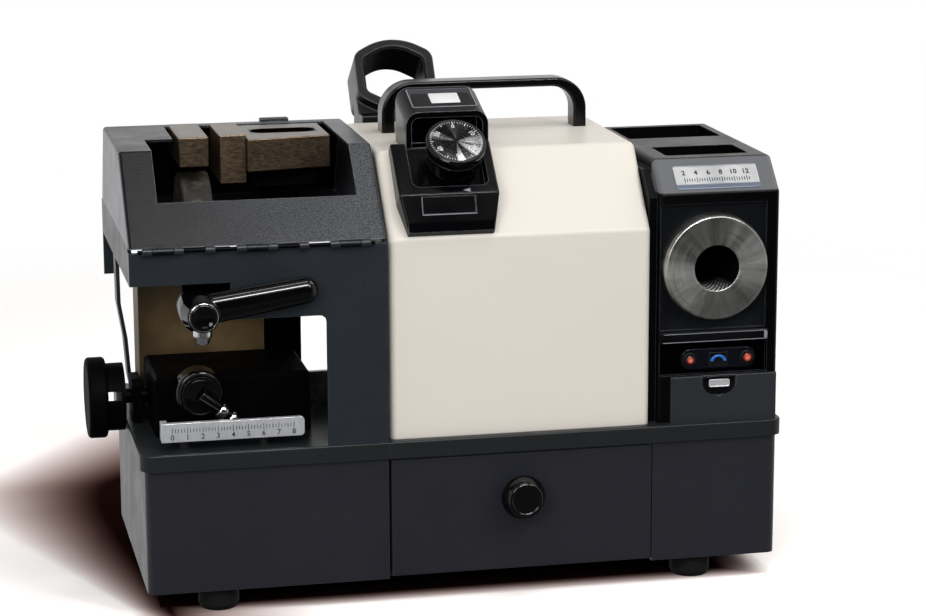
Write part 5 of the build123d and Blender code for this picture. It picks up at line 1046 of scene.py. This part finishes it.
# Brightness of the mirrored room along a direction's Y or Z: (from, to, level at from, level at to)
ROOM_DEPTH = (-0.75, -0.1, 0.04, 0.9)
ROOM_BELOW = (-0.6, -0.3, 0.1, 1.0)
ROOM_CEILING = (0.45, 0.85, 1.0, 0.35)
FLOOR_RADIUS = 1.6
FLOOR_HEIGHT = -0.0003
FLOOR_FADE = (0.55, 1.2)
FLOOR_UNMIRRORED = 0.85
SHADOW_X = -0.215
SHADOW_TINT = (0.9, 1.08, 1.12)
DARKEST = 0.005
WHITE = (1, 1, 1)
WARM = (1.0, 0.97, 0.93)
# Name, place, aim, size, power in W and colour of each lamp
LAMPS = (
    ("key", (1.7, 0.1, 1.9), (0, 0, 0.15), (0.9, 0.9), 12, WARM),
    ("front", (0.2, -1.75, 1.9), (0, 0, 0.2), (3.0, 1.5), 22, WHITE),
    ("front strip", (0.1, -1.65, 1.65), (0, 0, 0.2), (1.2, 0.25), 42, WHITE),
    ("overhead", (0.1, -0.5, 2.0), (0, 0, 0.25), (1.0, 0.12), 6, WHITE),
    ("left front", (-1.3, -2.3, 1.1), (-0.05, 0, 0.2), (0.9, 0.9), 19, WHITE),
    ("left strip", (-1.5, -1.6, 1.5), (-0.1, 0, 0.2), (0.04, 1.2), 4.5, WHITE),
    ("right strip", (1.3, -1.7, 1.6), (0.1, 0, 0.2), (0.05, 1.2), 7.5, WHITE),
)
ONLY_MIRRORED = "front strip"


def hang_lamps():
    """Soft lamps round the machine, one of which only gives highlights."""
    for name, place, aim, size, power, colour in LAMPS:
        data = bpy.data.lights.new(name, "AREA")
        data.shape = "RECTANGLE"
        data.size, data.size_y = size
        data.energy = power
        data.color = colour
        light = bpy.data.objects.new(name, data)
        bpy.context.scene.collection.objects.link(light)
        light.visible_diffuse = name != ONLY_MIRRORED
        light.location = place
        light.rotation_euler = (Vector(aim) - Vector(place)).to_track_quat("-Z", "Y").to_euler()


def light_room():
    """White for the camera, a dim even light on the machine, and a graded room in its reflections."""
    world = bpy.data.worlds.new("studio")
    bpy.context.scene.world = world
    world.use_nodes = True
    tree = world.node_tree
    link = tree.links.new

    def graded(value, limits):
        node = tree.nodes.new("ShaderNodeMapRange")
        link(value, node.inputs[0])
        for socket, number in zip(node.inputs[1:5], limits):
            socket.default_value = number
        return node.outputs[0]

    def both(operation, a, b):
        node = tree.nodes.new("ShaderNodeMath")
        node.operation = operation
        link(a, node.inputs[0])
        link(b, node.inputs[1])
        return node.outputs[0]

    path = tree.nodes.new("ShaderNodeLightPath").outputs
    way = tree.nodes.new("ShaderNodeTexCoord")
    split = tree.nodes.new("ShaderNodeSeparateXYZ")
    link(way.outputs["Generated"], split.inputs[0])
    height = split.outputs["Z"]
    level = both("MULTIPLY", graded(height, ROOM_BELOW), graded(height, ROOM_CEILING))
    around = both("MULTIPLY", graded(split.outputs["Y"], ROOM_DEPTH), level)
    soft = tree.nodes.new("ShaderNodeMix")
    link(both("MAXIMUM", path["Is Glossy Ray"], path["Is Transmission Ray"]), soft.inputs[0])
    soft.inputs[2].default_value = AMBIENT
    link(around, soft.inputs[3])
    strength = tree.nodes.new("ShaderNodeMix")
    link(path["Is Camera Ray"], strength.inputs[0])
    link(soft.outputs[0], strength.inputs[2])
    strength.inputs[3].default_value = 1.0
    back = tree.nodes["Background"]
    back.inputs["Color"].default_value = (1, 1, 1, 1)
    link(strength.outputs[0], back.inputs["Strength"])


def painted_shadow(f):
    """Painted shadow on the floor: how bright it is painted, with a soft shadow to the left and back, and
    one under the base.
    """
    x = f.axis(f.place, "X")
    y = f.axis(f.place, "Y")
    # The left shadow is half as bright at half_way, over a width of blur
    beside = f.maths("SUBTRACT", SHADOW_X, x)
    half_way = f.maths("SMOOTH_MIN", f.plus(f.times(y, 0.235), 0.0155),
                       f.maths("SUBTRACT", 0.24, f.times(y, 0.83)), 0.04)
    half_way = f.maths("SMOOTH_MIN", half_way, 0.056, 0.02)
    blur = f.greater(f.plus(f.times(y, 0.16), 0.026), 0.012)
    left = f.spread(f.maths("DIVIDE", f.maths("SUBTRACT", beside, half_way), blur), 0.0, 1.0, -1.0, 1.0)
    left = f.greater(f.maths("POWER", left, 2.2), f.spread(x, 0.0, 1.0, -0.2, -0.1))
    left = f.greater(left, f.spread(y, 1.0, 0.0, -0.13, -0.1))
    left = f.greater(left, f.spread(y, 0.0, 1.0, 0.3, 0.5))
    under = f.maths("POWER", f.spread(y, 1.0, 0.0, -0.1, -0.0765), 1.7)
    under = f.greater(under, f.maths("POWER", f.spread(x, 0.0, 1.0, 0.18, 0.215), 1.5))
    under = f.greater(under, f.spread(y, 0.0, 1.0, 0.09, 0.11))
    under = f.greater(under, f.spread(x, 1.0, 0.0, -0.225, -0.205))
    return f.greater(f.maths("MINIMUM", left, under), DARKEST)


def lay_floor():
    """Pale paper floor that fades into the white room, with a painted shadow that the camera sees."""
    pick_none()
    bpy.ops.mesh.primitive_circle_add(
        vertices=96, radius=FLOOR_RADIUS, fill_type="NGON", location=(0, 0, FLOOR_HEIGHT))
    floor = named("floor")
    f = Finish("floor")
    path = f.add("ShaderNodeLightPath").outputs
    grain = f.noise(30, 3)
    paper = f.mix(grain, (0.5, 0.495, 0.49, 1), (0.54, 0.535, 0.53, 1))
    bright = f.mix(grain, (1.42, 1.36, 1.34, 1), (1.46, 1.4, 1.38, 1))
    # Painted shadow, for camera rays only.
    lit = painted_shadow(f)
    warm = f.add("ShaderNodeCombineColor")
    for socket, power in zip(warm.inputs, SHADOW_TINT):
        f.feed(socket, f.maths("POWER", lit, power))
    seen = f.add("ShaderNodeVectorMath", operation="MULTIPLY")
    f.feed(seen.inputs[0], bright)
    f.feed(seen.inputs[1], warm.outputs[0])
    sheet = f.add("ShaderNodeBsdfDiffuse")
    f.feed(sheet.inputs["Color"], f.mix(path["Is Camera Ray"], paper, seen.outputs[0]))
    away = f.add("ShaderNodeVectorMath", operation="LENGTH")
    f.feed(away.inputs[0], f.place)
    edge = f.spread(away.outputs["Value"], 0, 1, *FLOOR_FADE)
    fade = f.add("ShaderNodeMixShader")
    f.feed(fade.inputs[0], f.greater(edge, f.times(path["Is Glossy Ray"], FLOOR_UNMIRRORED)))
    f.feed(fade.inputs[1], sheet.outputs[0])
    f.feed(fade.inputs[2], f.add("ShaderNodeBsdfTransparent").outputs[0])
    f.feed(f.tree.nodes["Material Output"].inputs["Surface"], fade.outputs[0])
    floor.data.materials.append(f.material)


CAMERA_PLACE = (-0.3752, -1.8169, 0.5841)
CAMERA_DOWN = math.radians(12.4)
CAMERA_TURN = math.radians(-12.2)
CAMERA_ROLL = math.radians(-0.21)
CAMERA_LENS = 106.55
CAMERA_SENSOR = 36


def set_camera():
    """The photograph's viewing angle."""
    data = bpy.data.cameras.new("camera")
    data.sensor_width = CAMERA_SENSOR
    data.lens = CAMERA_LENS
    camera = bpy.data.objects.new("camera", data)
    bpy.context.scene.collection.objects.link(camera)
    look = Euler((math.radians(90) - CAMERA_DOWN, 0, CAMERA_TURN)).to_matrix()
    look = look @ Matrix.Rotation(CAMERA_ROLL, 3, "Z")
    camera.matrix_world = Matrix.Translation(CAMERA_PLACE) @ look.to_4x4()
    bpy.context.scene.camera = camera
    bpy.context.scene.view_settings.view_transform = "Standard"


finish_cad_nodes()
port_disc()
label_plate()
control_trim()
shield_badge()
pull_knob()
dial_marks()
dial_trim()
visor_trim()
lever_body()
lever_trim()
lock_trim()
scale_marks()
light_room()
lay_floor()
hang_lamps()
set_camera()
